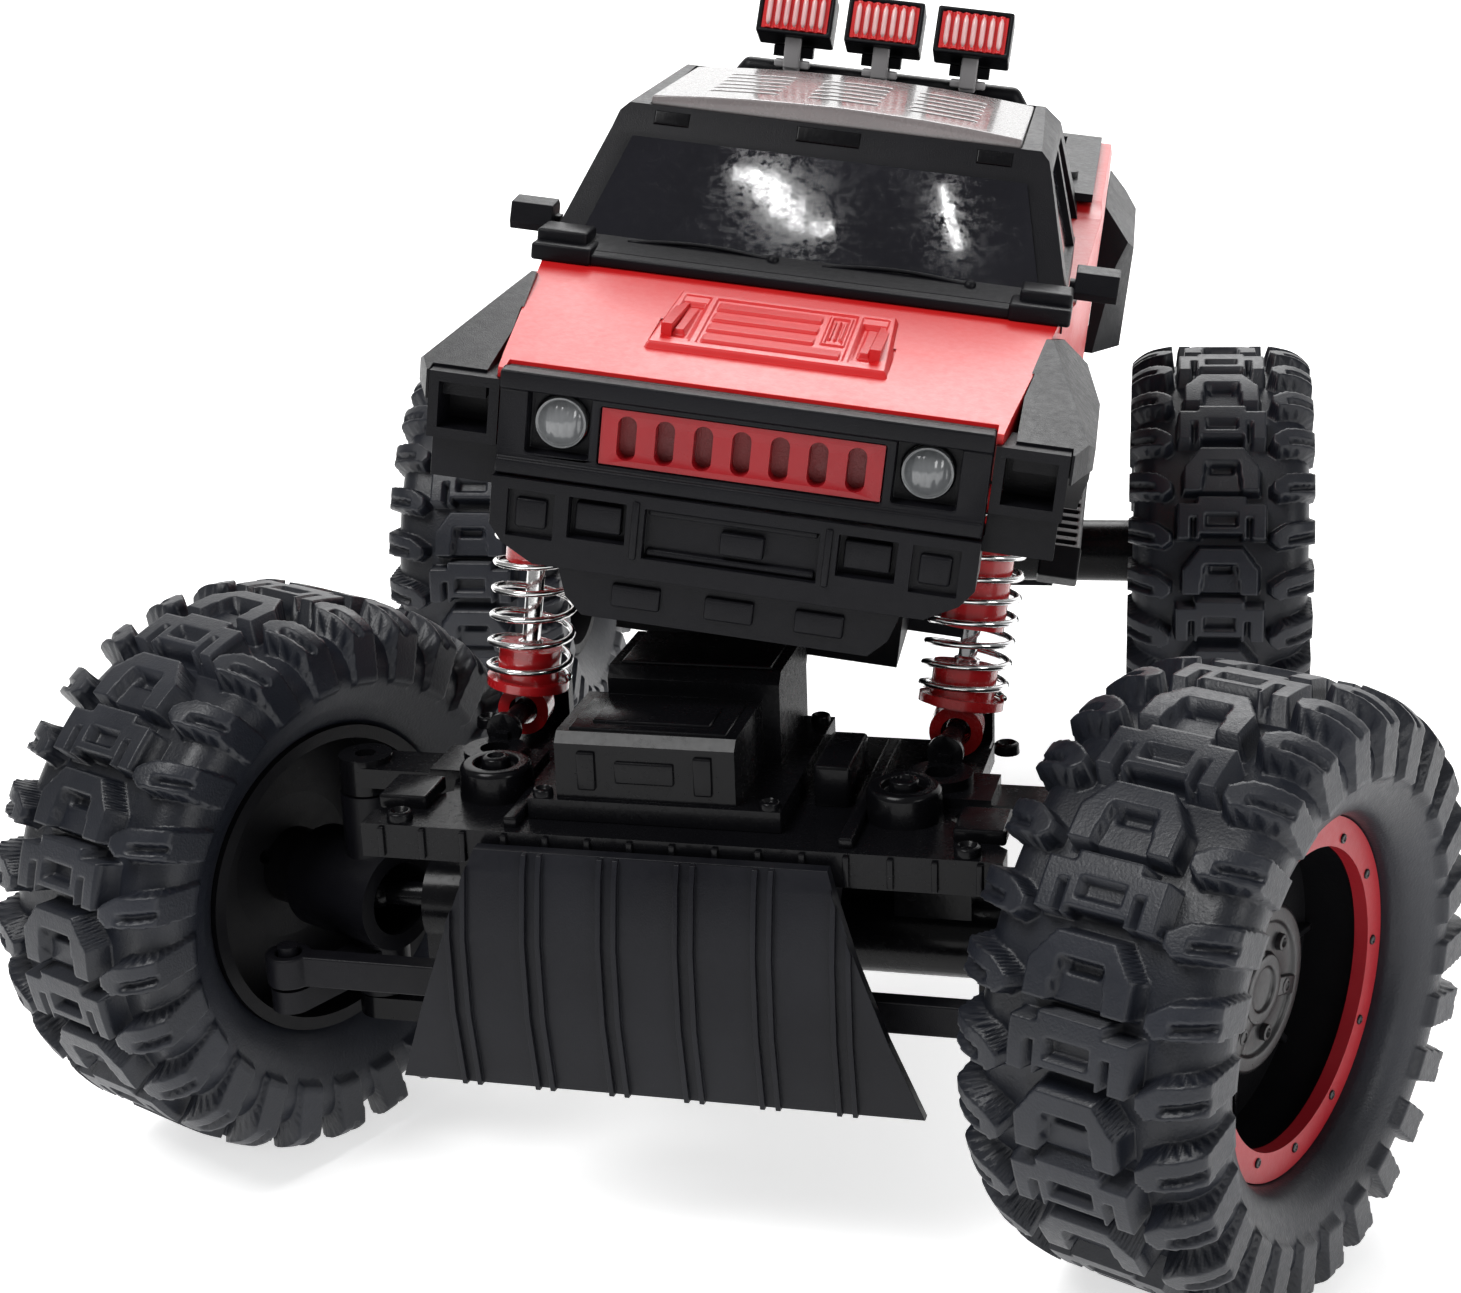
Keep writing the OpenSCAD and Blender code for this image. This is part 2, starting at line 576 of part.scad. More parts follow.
module front_motor_box() color(black) on_front() {
  difference() {
    union() {
      translate([0, fy, tyre_r]) {
        box(-19.6, 11.6, -16.6, 18.6, 12.7, 21.6);
        box(-22, 14, -18.4, 19.4, 21.6, 24.6);
        side_slab(-18, 7.6, [[-17.4, 24.5], [-17.4, 32.6], [-16, 34], [0, 34], [0, 24.5]]);
        side_slab(-15, 10.2, [[-0.5, 24.5], [-0.5, 36.4], [1, 38], [16, 38], [17.6, 36.4], [17.6, 24.5]]);
      }
      pin_front(7.5, -12, 3.6);
    }
    // motor room
    translate([0, fy, tyre_r]) {
      box(-17.6, 9.8, -14.6, 8.4, 10, 23.4);
      box(-17, 6, -9, 8.4, 23, 31.5);
    }
    // pivot bore and the pocket of the pin's head
    pin_front(pin_r + play, -12, 5);
    pin_front(5.5, -11, -8.7);
    translate([0, 0, 0]) pin_front_slot();
  }
}
// a way up and out of the head pocket
module pin_front_slot() {
  translate(front_pin) rotate([pin_rise, 0, 0]) box(-5.5, 5.5, -11, -8.7, 0, 12);
}

module skid_form(t) side_slab(-50, 50, [[-24.2 - t, 24.3], [-27.4 - t, 17], [-29.2 - t, 8],
  [-29 - t, -3.5], [-26.6 - t, -15.9], [-24.8, -16.3], [-27.2, -3.5], [-27.4, 8], [-25.6, 16.4],
  [-22.4, 24.3]]);
// plate with ribs; reach is the distance from the axle centre to the end of its webs
module skid_plate(reach) {
  translate([skid_x, 0, 0]) {
    intersection() {
      skid_form(0);
      front_sym(-40, 0, [[0, 19.9], [24.8, 19.9], [37.6, -16], [0, -16]]);
    }
    intersection() {
      skid_form(0.9);
      union() {
        for (i = [-5:2:5]) for (k = [-1, 1])
          box(i * 5.4 + k * 1.1 - 0.35, i * 5.4 + k * 1.1 + 0.35, -40, -20, -17, 19.8);
      }
      front_sym(-40, 0, [[0, 19.9], [24.8, 19.9], [37.6, -16], [0, -16]]);
    }
    // side gussets
    both() side_slab(24, 25.4, [[-24.6, 16.4], [-27.6, 8], [-28.4, 3], [-18, 16.4]]);
  }
  // mounting webs back to the tube, above the tie rod
  box(-11, -3, -28.2, -reach, 3, 5);
  box(-11, -9.4, -28.2, -reach - 0.8, 3, 12);
}
module front_skid_plate() color(dark) on_front() translate([0, fy, tyre_r]) skid_plate(6.8);
module rear_skid_plate() color(dark) on_rear() translate([0, ry, tyre_r]) rotate([0, 0, 180])
  skid_plate(17.1);

module motor() {
  rod_x(-16.8, 0.6, 7.8, 0, gear_gap);
  rod_x(0.5, 2.2, 2.6, 0, gear_gap);
  rod_x(-17.3, -16.7, 2.2, 0, gear_gap);
}
module front_motor() color(steel) on_front() translate([0, fy, tyre_r]) difference() {
  motor();
  rod_x(-14, 3, 1 + play, 0, gear_gap);
}
module rear_motor() color(steel) on_rear() translate([0, ry, tyre_r]) difference() {
  motor();
  rod_x(-14, 3, 1 + play, 0, gear_gap);
}

// spur gear outline with straight-sided teeth, first tooth on +X
module gear_shape(n, m) {
  p = n * m / 2;
  circle(r = p - 1.05 * m, $fn = 96);
  for (i = [0:n - 1]) rotate(i * 360 / n) polygon([[p - 1.3 * m, -0.95 * m], [p, -0.66 * m],
    [p + 0.8 * m, -0.36 * m], [p + 0.8 * m, 0.36 * m], [p, 0.66 * m], [p - 1.3 * m, 0.95 * m]]);
}
// gear on the X axis with tooth 0 turned to the given angle from +Z
module gear_on_x(n, turn) {
  translate([gear_x - gear_w / 2, 0, 0]) rotate([0, 90, 0]) linear_extrude(gear_w)
    rotate(180 + turn) gear_shape(n, gear_m);
}
module axle_shaft() gear_on_x(gear_teeth, 0);
module front_axle_shaft() color(steel) on_front() translate([0, fy, tyre_r]) {
  axle_shaft();
  rod_x(-44.4, 44.4, 3);
  rod_x(-kx, kx, 1.9);
  both() translate([kx, 0, 0]) sphere(r = 2.8, $fn = 36);
}
module rear_axle_shaft() color(steel) on_rear() translate([0, ry, tyre_r]) {
  axle_shaft();
  rod_x(-75, 75, 3);
}
module pinion() translate([0, 0, gear_gap]) {
  gear_on_x(pinion_teeth, 180 + 180 / pinion_teeth);
  rod_x(-13.6, gear_x + gear_w / 2 + 0.3, 1);
}
module front_pinion() color(steel) on_front() translate([0, fy, tyre_r]) pinion();
module rear_pinion() color(steel) on_rear() translate([0, ry, tyre_r]) pinion();

// steering knuckle drawn about its kingpin, wheel to +X
module knuckle_shape() difference() {
  union() {
    rod_x(-5, 11.6, 8);
    rod_z(-15.7, 16.7, 4.2);
    rod_z(-19, 21.5, 1.5);
    // arm and tie rod pin
    box(-3, 3, -arm_l, -1, -11.5, -8);
    rod_z(-11.5, -8, 3, 0, -arm_l);
    rod_z(-8.1, -1.6, 1.5, 0, -arm_l);
  }
  rod_x(-6, 3.4, 5.6);
  rod_x(3, 12, 3 + play);
}
module knuckle_left() color(black) on_knuckle(1) knuckle_shape();
module knuckle_right() color(black) on_knuckle(-1) mirror([1, 0, 0]) knuckle_shape();

module tie_rod() color(black) on_front()
  translate([arm_l * sin(steer), fy - arm_l * cos(steer), tyre_r]) difference() {
    union() {
      box(-kx, kx, -1.6, 1.6, -7.5, -2.7);
      both() rod_z(-7.5, -2.7, 3.4, kx, 0);
    }
    rod_z(-9, -1, 1.5 + play, kx, 0);
    rod_z(-9, -1, 1.9, -kx, 0);
  }

module rear_axle_case() color(black) on_rear() translate([0, ry, tyre_r]) {
  difference() {
    union() {
      axle_tube(61);
      box(-37.8, 37.8, -20, 20, 18.5, 21.5);
      // motor housing and the neck to the pivot pin
      box(-19.6, 11.6, -13.6, 17, 0, 30);
      side_slab(-18, 10, [[-13.6, 29], [-12, 34], [14, 34], [17, 30], [17, 29]]);
      box(-9, 9, -28.6, -13, 8, 26.6);
      both() box(26, 41, -4, 6, 21.3, 23);
    }
    axle_space();
    box(-17.6, 9.8, -9, 9, 12, 28);
    rod_y(-30, -13.6, pin_r + play, 0, pivot_z - tyre_r);
    rod_y(-15.9, -13.8, 5.5, 0, pivot_z - tyre_r);
    box(-5.5, 5.5, -15.9, -13.8, pivot_z - tyre_r, 30);
  }
  shock_lugs(1);
}

// ---- wheels ----
// outline of a ring of lugs; first lug centred on the angle a0
function lug_pts(r1, r0, a0, duty) = [for (i = [0:lug_count - 1]) for (q = [[-0.62, r0], [-0.5, r1],
  [0, r1], [0.5, r1], [0.62, r0]]) let (a = a0 + (i + q[0] * duty) * 360 / lug_count)
  [q[1] * cos(a), q[1] * sin(a)]];
module lug_row(x0, x1, r1, a0, duty) {
  translate([x0, 0, 0]) rotate([0, 90, 0]) linear_extrude(x1 - x0) difference() {
    polygon(lug_pts(r1, tyre_r - lug_h - 1.2, a0, duty));
    circle(r = tyre_r - lug_h - 2.6, $fn = 96);
  }
}
module tyre() {
  hw = tyre_w / 2;
  base = tyre_r - lug_h;
  difference() {
    union() {
      rotate([0, 90, 0]) rotate_extrude($fn = 96) polygon([[rim_r + 0.05, -12], [25.6, -14],
        [28.5, -hw + 1], [32.5, -hw], [36, -hw + 1.1], [base - 0.6, -hw + 4.2], [base, -hw + 9],
        [base, hw - 9], [base - 0.6, hw - 4.2], [36, hw - 1.1], [32.5, hw], [29, hw - 1], [26.8, hw - 4],
        [bead_r + 0.15, 11], [bead_r + 0.15, bead_x - 1], [rim_r + 0.05, bead_x - 1.1]]);
      lug_row(-6.4, 6.4, tyre_r, 0, 0.66);
      lug_row(7.4, 16.4, tyre_r - 1, 180 / lug_count, 0.6);
      lug_row(-16.4, -7.4, tyre_r - 1, 180 / lug_count, 0.6);
    }
    rotate([0, 90, 0]) rotate_extrude($fn = 96) polygon([[26.6, -9], [30, -14.4], [34, -14.4],
      [35.6, -8], [35.6, 8], [34, 14.4], [30, 14.4], [26.8, 8]]);
  }
}
module rim(driven) difference() {
  union() {
    rotate([0, 90, 0]) rotate_extrude($fn = 96) polygon([[rim_r, -13], [rim_r, bead_x - 1.1],
      [22, bead_x - 1.1], [22, 1], [11.4, -1.2], [11.4, -3.2], [22, -1.2], [22, -13]]);
    // hub disc, raised ring and tube
    rod_x(-3.2, 1.6, 11.5);
    difference() {
      rod_x(1.5, 2.5, 11);
      rod_x(1, 3, 8.6);
    }
    for (a = [0:120:240]) rotate([a, 0, 0]) box(1.5, 2.3, -1.3, 1.3, 2, 9);
    rod_x(-9, 0, 6);
    if (driven) rod_x(-18.8, 0, 3);
  }
  for (a = [60:120:300]) rotate([a, 0, 0]) rod_x(-4, 3, 1.1, 0, 6.2);
  if (!driven) rod_x(-10, 0.2, 3.02);
}
module bead_ring() difference() {
  rod_x(bead_x - 1, bead_x + 1, bead_r);
  rod_x(bead_x - 2, bead_x + 2, 21);
  for (i = [0:11]) rotate([i * 30, 0, 0]) translate([bead_x + 0.3, 0, 22.4]) rotate([0, 90, 0])
    cylinder(h = 2, r = 0.5, $fn = 24);
}
module tyre_front_left() color(rubber) on_wheel_front(1) tyre();
module rim_front_left() color(black) on_wheel_front(1) rim(true);
module bead_ring_front_left() color(red) on_wheel_front(1) bead_ring();
module tyre_front_right() color(rubber) on_wheel_front(-1) tyre();
module rim_front_right() color(black) on_wheel_front(-1) rim(true);
module bead_ring_front_right() color(red) on_wheel_front(-1) bead_ring();
module tyre_rear_left() color(rubber) on_wheel_rear(1) tyre();
module rim_rear_left() color(black) on_wheel_rear(1) rim(false);
module bead_ring_rear_left() color(red) on_wheel_rear(1) bead_ring();
module tyre_rear_right() color(rubber) on_wheel_rear(-1) tyre();
module rim_rear_right() color(black) on_wheel_rear(-1) rim(false);
module bead_ring_rear_right() color(red) on_wheel_rear(-1) bead_ring();

// ---- shocks ----
// the eyes are turned by the tilt, so that they lie along their pins
module shock_body(len, tilt) difference() {
  union() {
    translate([0, 0, len - 24]) cylinder(h = 21, r = shock_r, $fn = 48);
    translate([0, 0, len - 5.2]) cylinder(h = 1.8, r = coil_r + wire_r, $fn = 48);
    translate([0, 0, len]) rotate([tilt, 0, 0]) rod_y(-2, 2, 3.7);
  }
  translate([0, 0, len]) rotate([tilt, 0, 0]) rod_y(-3.6, 3.6, 1.5 + play);
  translate([0, 0, len - 25]) cylinder(h = 19.6, r = rod_r + play, $fn = 48);
}
module shock_piston(tilt) difference() {
  union() {
    rotate([tilt, 0, 0]) rod_y(-2, 2, 3.9);
    translate([0, 0, 3.4]) cylinder(h = 1.3, r = coil_r + 0.1, $fn = 48);
    translate([0, 0, 3]) cylinder(h = 6.6, r = shock_r, $fn = 48);
    translate([0, 0, 9]) cylinder(h = 21, r = rod_r, $fn = 48);
  }
  rotate([tilt, 0, 0]) rod_y(-6, 6, 2.2);
}
// coil as one swept tube from the lower seat to the upper one
module shock_spring(len) {
  z0 = 4.8 + wire_r;
  z1 = len - 5.3 - wire_r;
  seg = 14;
  n = coil_turns * seg;
  k = 6;
  pts = [for (i = [0:n]) for (j = [0:k - 1]) let (a = i * 360 / seg, b = j * 360 / k,
    r = coil_r + wire_r * cos(b)) [r * cos(a), r * sin(a), z0 + (z1 - z0) * i / n + wire_r * sin(b)]];
  sides = [for (i = [0:n - 1]) for (j = [0:k - 1]) let (m = (j + 1) % k)
    each [[i * k + j, (i + 1) * k + j, (i + 1) * k + m], [i * k + j, (i + 1) * k + m, i * k + m]]];
  polyhedron(pts, concat([[for (j = [0:k - 1]) j]], sides,
    [[for (j = [k - 1:-1:0]) n * k + j]]), convexity = 10);
}
module shock_body_front_left() color(red) on_shock(1, -1) shock_body(shock_len(1, -1), shock_tilt(1, -1));
module shock_piston_front_left() color(red) on_shock(1, -1) shock_piston(shock_tilt(1, -1));
module shock_spring_front_left() color(steel) on_shock(1, -1) shock_spring(shock_len(1, -1));
module shock_body_front_right() color(red) on_shock(-1, -1) shock_body(shock_len(-1, -1), shock_tilt(-1, -1));
module shock_piston_front_right() color(red) on_shock(-1, -1) shock_piston(shock_tilt(-1, -1));
module shock_spring_front_right() color(steel) on_shock(-1, -1) shock_spring(shock_len(-1, -1));
module shock_body_rear_left() color(red) on_shock(1, 1) shock_body(shock_len(1, 1), shock_tilt(1, 1));
module shock_piston_rear_left() color(red) on_shock(1, 1) shock_piston(shock_tilt(1, 1));
module shock_spring_rear_left() color(steel) on_shock(1, 1) shock_spring(shock_len(1, 1));
module shock_body_rear_right() color(red) on_shock(-1, 1) shock_body(shock_len(-1, 1), shock_tilt(-1, 1));
module shock_piston_rear_right() color(red) on_shock(-1, 1) shock_piston(shock_tilt(-1, 1));
module shock_spring_rear_right() color(steel) on_shock(-1, 1) shock_spring(shock_len(-1, 1));

body_shell();
cab_frame();
roof_panel();
windscreen();
side_windows();
fender_flares();
grille_frame();
grille_insert();
headlights();
front_bumper();
rear_bumper();
mirrors();
roof_bar();
lamp_housings();
lamp_lenses();
tail_lights();
chassis_tray();
battery_cover();
battery_pack();
circuit_board();
power_switch();
side_steps();
front_axle_case();
front_motor_box();
front_skid_plate();
front_motor();
front_axle_shaft();
front_pinion();
knuckle_left();
knuckle_right();
tie_rod();
rear_axle_case();
rear_skid_plate();
rear_motor();
rear_axle_shaft();
rear_pinion();
tyre_front_left();
rim_front_left();
bead_ring_front_left();
tyre_front_right();
rim_front_right();
bead_ring_front_right();
tyre_rear_left();
rim_rear_left();
bead_ring_rear_left();
tyre_rear_right();
rim_rear_right();
bead_ring_rear_right();
shock_body_front_left();
shock_piston_front_left();
shock_spring_front_left();
shock_body_front_right();
shock_piston_front_right();
shock_spring_front_right();
shock_body_rear_left();
shock_piston_rear_left();
shock_spring_rear_left();
shock_body_rear_right();
shock_piston_rear_right();
shock_spring_rear_right();
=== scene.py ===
"""Looks of the remote control rock crawler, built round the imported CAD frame."""
import bpy
import math
import numpy as np
from mathutils import Matrix, Vector


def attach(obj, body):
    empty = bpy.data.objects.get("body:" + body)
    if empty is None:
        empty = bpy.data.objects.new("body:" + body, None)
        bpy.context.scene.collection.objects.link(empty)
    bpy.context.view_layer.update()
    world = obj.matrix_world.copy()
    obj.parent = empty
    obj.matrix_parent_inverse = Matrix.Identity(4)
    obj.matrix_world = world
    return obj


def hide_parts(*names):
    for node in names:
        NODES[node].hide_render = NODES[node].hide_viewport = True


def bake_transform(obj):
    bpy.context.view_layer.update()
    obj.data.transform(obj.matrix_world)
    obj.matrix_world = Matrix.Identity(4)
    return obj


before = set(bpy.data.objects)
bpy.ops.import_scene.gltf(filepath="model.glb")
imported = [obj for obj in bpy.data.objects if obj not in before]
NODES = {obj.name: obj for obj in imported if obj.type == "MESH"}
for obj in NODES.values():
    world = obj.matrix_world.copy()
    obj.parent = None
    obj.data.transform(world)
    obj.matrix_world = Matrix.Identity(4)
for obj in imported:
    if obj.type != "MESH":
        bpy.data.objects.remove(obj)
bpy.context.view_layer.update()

# ---------------------------------------------------------------- dimensions, in mm
SHIFT_Y = 6.4
LEAN = math.radians(7.73)
PIVOT_Z = 60.0
PIN_RISE = math.radians(30)
PIN_POINT = np.array([0, -72.0, 74.0])
STEER = math.radians(-24.4)
EYE = np.array([61.23, -421.03 + SHIFT_Y, 199.02])      # where the camera stands
FOCAL_PX, PHOTO_W, SENSOR = 2494.95, 1461, 36
FRONT_Y, REAR_Y = -93.0, 93.0
TYRE_R, TYRE_HALF = 43.0, 18.0
KINGPIN_X, KINGPIN_OFFSET, HALF_TRACK = 53.5, 22.0, 75.5
MM = 0.001


# ---------------------------------------------------------------- frames
def turn(axis, angle):
    """A 4 x 4 turn about an axis through the origin, by Rodrigues' formula."""
    a = np.asarray(axis, float)
    a = a / np.linalg.norm(a)
    k = np.array([[0, -a[2], a[1]], [a[2], 0, -a[0]], [-a[1], a[0], 0]])
    m = np.eye(4)
    m[:3, :3] += math.sin(angle) * k + (1 - math.cos(angle)) * k @ k
    return m


def move(x, y, z):
    m = np.eye(4)
    m[:3, 3] = (x, y, z)
    return m


def about(point, m):
    """The transform m done about a point."""
    p = np.asarray(point, float)
    return move(*p) @ m @ move(*-p)


CAR = move(0, SHIFT_Y, 0)
BODY = CAR @ about((0, 0, PIVOT_Z), turn((0, 1, 0), LEAN))
ROLL_F = -math.atan(math.tan(LEAN) / math.cos(PIN_RISE))
PIN_DIR = (0, math.cos(PIN_RISE), math.sin(PIN_RISE))
FRONT = BODY @ about(PIN_POINT, turn(PIN_DIR, ROLL_F))
FRONT_AXLE = FRONT @ move(0, FRONT_Y, TYRE_R)
REAR_AXLE = CAR @ move(0, REAR_Y, TYRE_R)
FLIP_X = np.diag([-1.0, 1, 1, 1])


def knuckle(side):
    return FRONT @ move(side * KINGPIN_X, FRONT_Y, TYRE_R) @ turn((0, 0, 1), STEER)


def wheel(side, fore):
    """The frame of a wheel: origin at its centre, +X outwards."""
    base = knuckle(side) @ move(side * KINGPIN_OFFSET, 0, 0) if fore < 0 \
        else REAR_AXLE @ move(side * HALF_TRACK, 0, 0)
    return base @ FLIP_X if side < 0 else base


# ---------------------------------------------------------------- materials
class Sock:
    """A shader value: operators on it add Math nodes to its tree."""

    def __init__(self, tree, out):
        self.tree, self.out = tree, out

    def _math(self, op, *others):
        n = self.tree.nodes.new("ShaderNodeMath")
        n.operation = op
        for i, v in enumerate((self,) + others):
            if isinstance(v, Sock):
                self.tree.links.new(v.out, n.inputs[i])
            else:
                n.inputs[i].default_value = v
        return Sock(self.tree, n.outputs[0])

    def __add__(self, o): return self._math("ADD", o)
    def __mul__(self, o): return self._math("MULTIPLY", o)

    def ramp(self, lo, hi, a=0.0, b=1.0):
        """Maps lo..hi to a..b, clamped."""
        return node(self.tree, "ShaderNodeMapRange", "Result", Value=self,
                    **{"From Min": lo, "From Max": hi, "To Min": a, "To Max": b})


def node(tree, kind, output, props=None, **inputs):
    """Adds one node of any kind, with its inputs by name, and gives one output."""
    n = tree.nodes.new(kind)
    for k, v in (props or {}).items():
        setattr(n, k, v)
    for k, v in inputs.items():
        s = n.inputs[k]
        if isinstance(v, Sock):
            tree.links.new(v.out, s)
        elif isinstance(v, (tuple, list)) and len(v) == 3 and s.type == "RGBA":
            s.default_value = (*v, 1)
        else:
            s.default_value = v
    return Sock(tree, n.outputs[output])


def mix_color(tree, factor, a, b):
    """A colour mix of a and b, each a plain colour or an output."""
    n = tree.nodes.new("ShaderNodeMix")
    n.data_type = "RGBA"
    tree.links.new(factor.out, n.inputs["Factor"])
    for socket, c in ((n.inputs[6], a), (n.inputs[7], b)):
        if isinstance(c, tuple):
            socket.default_value = (*c, 1)
        else:
            tree.links.new(c, socket)
    return n.outputs[2]


MATERIALS = {}
DUST_COLOR = (0.42, 0.4, 0.38)


def material(name, base, rough, second=None, metal=0.0, coat=0.0, coat_rough=0.1, spec=0.5,
             grain=0.0, grain_scale=4000.0, wear=0.0, wear_color=(0.3, 0.3, 0.3), dust=0.0,
             brushed=False, emission=None):
    """One principled shader with a mottled colour, a moulded grain in the bump, roughness that
    varies, dust that lies on upward faces and light wear in broken patches."""
    m = bpy.data.materials.new(name)
    m.use_nodes = True
    t = m.node_tree
    p = t.nodes["Principled BSDF"]
    pos = node(t, "ShaderNodeTexCoord", "Object")

    def noise(scale, detail=3.0, roughness=0.5):
        return node(t, "ShaderNodeTexNoise", "Fac", Vector=pos, Scale=scale, Detail=detail,
                    Roughness=roughness)

    cloud = noise(55.0)
    fine = noise(900.0, 4.0, 0.6)
    second = second or tuple(min(1, c * 1.35 + 0.004) for c in base)
    color = mix_color(t, cloud.ramp(0.35, 0.7), base, second)
    r = fine.ramp(0.3, 0.7, rough - 0.05, rough + 0.06) + cloud.ramp(0.4, 0.7, 0.0, 0.06)
    if wear:
        scuff = noise(210.0, 6.0, 0.75).ramp(0.62, 0.74, 0.0, wear)
        color = mix_color(t, scuff, color, wear_color)
        r = r + scuff * 0.2
    if dust:
        up = node(t, "ShaderNodeSeparateXYZ", "Z",
                  Vector=node(t, "ShaderNodeNewGeometry", "Normal"))
        settled = up.ramp(0.35, 1.0) * noise(130.0, 5.0, 0.7).ramp(0.42, 0.75, 0.0, dust)
        color = mix_color(t, settled, color, DUST_COLOR)
        r = r + settled * 0.5
    t.links.new(color, p.inputs["Base Color"])
    t.links.new(r.out, p.inputs["Roughness"])
    p.inputs["Metallic"].default_value = metal
    p.inputs["Coat Weight"].default_value = coat
    p.inputs["Coat Roughness"].default_value = coat_rough
    p.inputs["Specular IOR Level"].default_value = spec
    if emission:
        p.inputs["Emission Color"].default_value = (*emission, 1)
        p.inputs["Emission Strength"].default_value = 0.15
    if grain:
        h = noise(grain_scale, 2.0, 0.5)
        if brushed:
            stretched = node(t, "ShaderNodeMapping", "Vector", Vector=pos, Scale=(0.05, 1, 1))
            h = node(t, "ShaderNodeTexNoise", "Fac", Vector=stretched, Scale=grain_scale,
                     Detail=2.0)
        bump = node(t, "ShaderNodeBump", "Normal", Strength=1.0, Distance=grain * MM,
                    Height=h + cloud * 0.6)
        t.links.new(bump.out, p.inputs["Normal"])
    MATERIALS[name] = m
    return m


material("rubber", (0.006, 0.0075, 0.012), 0.40, (0.011, 0.013, 0.020), grain=0.05,
         grain_scale=2600, dust=0.035, spec=0.4)
material("red_paint", (0.60, 0.010, 0.012), 0.38, (0.64, 0.016, 0.016), coat=0.25, coat_rough=0.28,
         grain=0.012, grain_scale=3000, dust=0.0, spec=0.35)
material("red_gloss", (0.42, 0.008, 0.012), 0.22, (0.5, 0.014, 0.016), coat=0.6, coat_rough=0.08,
         grain=0.01, grain_scale=2500)
material("grille_red", (0.24, 0.004, 0.008), 0.3, (0.29, 0.006, 0.010), coat=0.12, coat_rough=0.1,
         grain=0.01, grain_scale=2500, spec=0.3)
material("red_ring", (0.34, 0.010, 0.018), 0.38, (0.40, 0.02, 0.028), grain=0.02,
         grain_scale=3500, wear=0.12, wear_color=(0.62, 0.2, 0.2))
material("black_matte", (0.0035, 0.0035, 0.0048), 0.36, (0.0055, 0.0055, 0.0075), grain=0.04,
         grain_scale=5200, dust=0.008, spec=0.15)
material("black_gloss", (0.0028, 0.0028, 0.0035), 0.22, (0.0045, 0.0045, 0.0055), coat=0.04,
         coat_rough=0.08, grain=0.015, grain_scale=1800, dust=0.0, spec=0.13)
material("black_deep", (0.004, 0.004, 0.005), 0.3, grain=0.02, grain_scale=3000)
material("rim_matt", (0.003, 0.003, 0.004), 0.46, (0.006, 0.006, 0.007), grain=0.03,
         grain_scale=3200, spec=0.16)
material("charcoal", (0.006, 0.0062, 0.0085), 0.34, (0.010, 0.0105, 0.0135), grain=0.03,
         grain_scale=4200, dust=0.02, wear=0.08, wear_color=(0.03, 0.03, 0.035), spec=0.16)
material("roof_grey", (0.17, 0.155, 0.155), 0.24, (0.22, 0.20, 0.20), coat=0.6, coat_rough=0.1,
         grain=0.01, grain_scale=2000, dust=0.03)
material("tint", (0.003, 0.003, 0.006), 0.035, (0.005, 0.005, 0.009), coat=0.25, coat_rough=0.02,
         grain=0.004, grain_scale=400, spec=0.35)
material("clear_lens", (0.10, 0.105, 0.11), 0.12, (0.16, 0.165, 0.17), coat=0.7, coat_rough=0.05,
         grain=0.02, grain_scale=900)
material("red_lens", (0.56, 0.012, 0.016), 0.14, (0.66, 0.03, 0.03), coat=0.7, coat_rough=0.05,
         grain=0.01, grain_scale=1500, emission=(0.4, 0.01, 0.01))
material("pink_rib", (0.75, 0.42, 0.42), 0.2, (0.85, 0.55, 0.54), coat=0.6, grain=0.01,
         grain_scale=1500)
material("chrome", (0.72, 0.72, 0.73), 0.12, (0.8, 0.79, 0.77), metal=1.0, grain=0.01,
         grain_scale=2500)
material("steel", (0.42, 0.42, 0.43), 0.32, (0.5, 0.5, 0.5), metal=1.0, grain=0.03,
         grain_scale=2500, brushed=True)
material("bracket_grey", (0.26, 0.25, 0.255), 0.35, (0.34, 0.33, 0.335), grain=0.02,
         grain_scale=2500)
material("board", (0.01, 0.10, 0.035), 0.3, (0.015, 0.14, 0.05), coat=0.4, grain=0.03,
         grain_scale=700)
material("cell", (0.03, 0.16, 0.09), 0.25, (0.04, 0.2, 0.12), coat=0.5, grain=0.02,
         grain_scale=600)
material("mesh_dark_red", (0.16, 0.004, 0.006), 0.45, (0.22, 0.008, 0.01), grain=0.06,
         grain_scale=3500)


# ---------------------------------------------------------------- mesh helpers
def piece(name, verts, faces, mat, body=None, m=None, slot=None, sharp=None):
    """A mesh object from arrays in millimetres, placed by the 4 x 4 matrix m."""
    v = np.asarray(verts, float)
    if m is not None:
        v = v @ m[:3, :3].T + m[:3, 3]
        if np.linalg.det(m[:3, :3]) < 0:
            faces = [tuple(reversed(f)) for f in faces]
    me = bpy.data.meshes.new(name)
    me.from_pydata((v * MM).tolist(), [], [tuple(map(int, f)) for f in faces])
    me.validate()
    o = bpy.data.objects.new(name, me)
    bpy.context.scene.collection.objects.link(o)
    me.materials.append(MATERIALS[mat])
    me.shade_smooth()
    if sharp:
        me.set_sharp_from_angle(angle=math.radians(sharp))
    if body:
        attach(o, body)
    return o


def grid_faces(nu, nv, wrap_u=False, wrap_v=False, flip=False):
    """Quads of a grid of nu x nv points, point (i, j) at i * nv + j."""
    iu = np.arange(nu if wrap_u else nu - 1)
    jv = np.arange(nv if wrap_v else nv - 1)
    i, j = np.meshgrid(iu, jv, indexing="ij")
    a = i * nv + j
    b = ((i + 1) % nu) * nv + j
    c = ((i + 1) % nu) * nv + (j + 1) % nv
    d = i * nv + (j + 1) % nv
    q = np.stack([a, b, c, d], -1).reshape(-1, 4)
    return q[:, ::-1] if flip else q


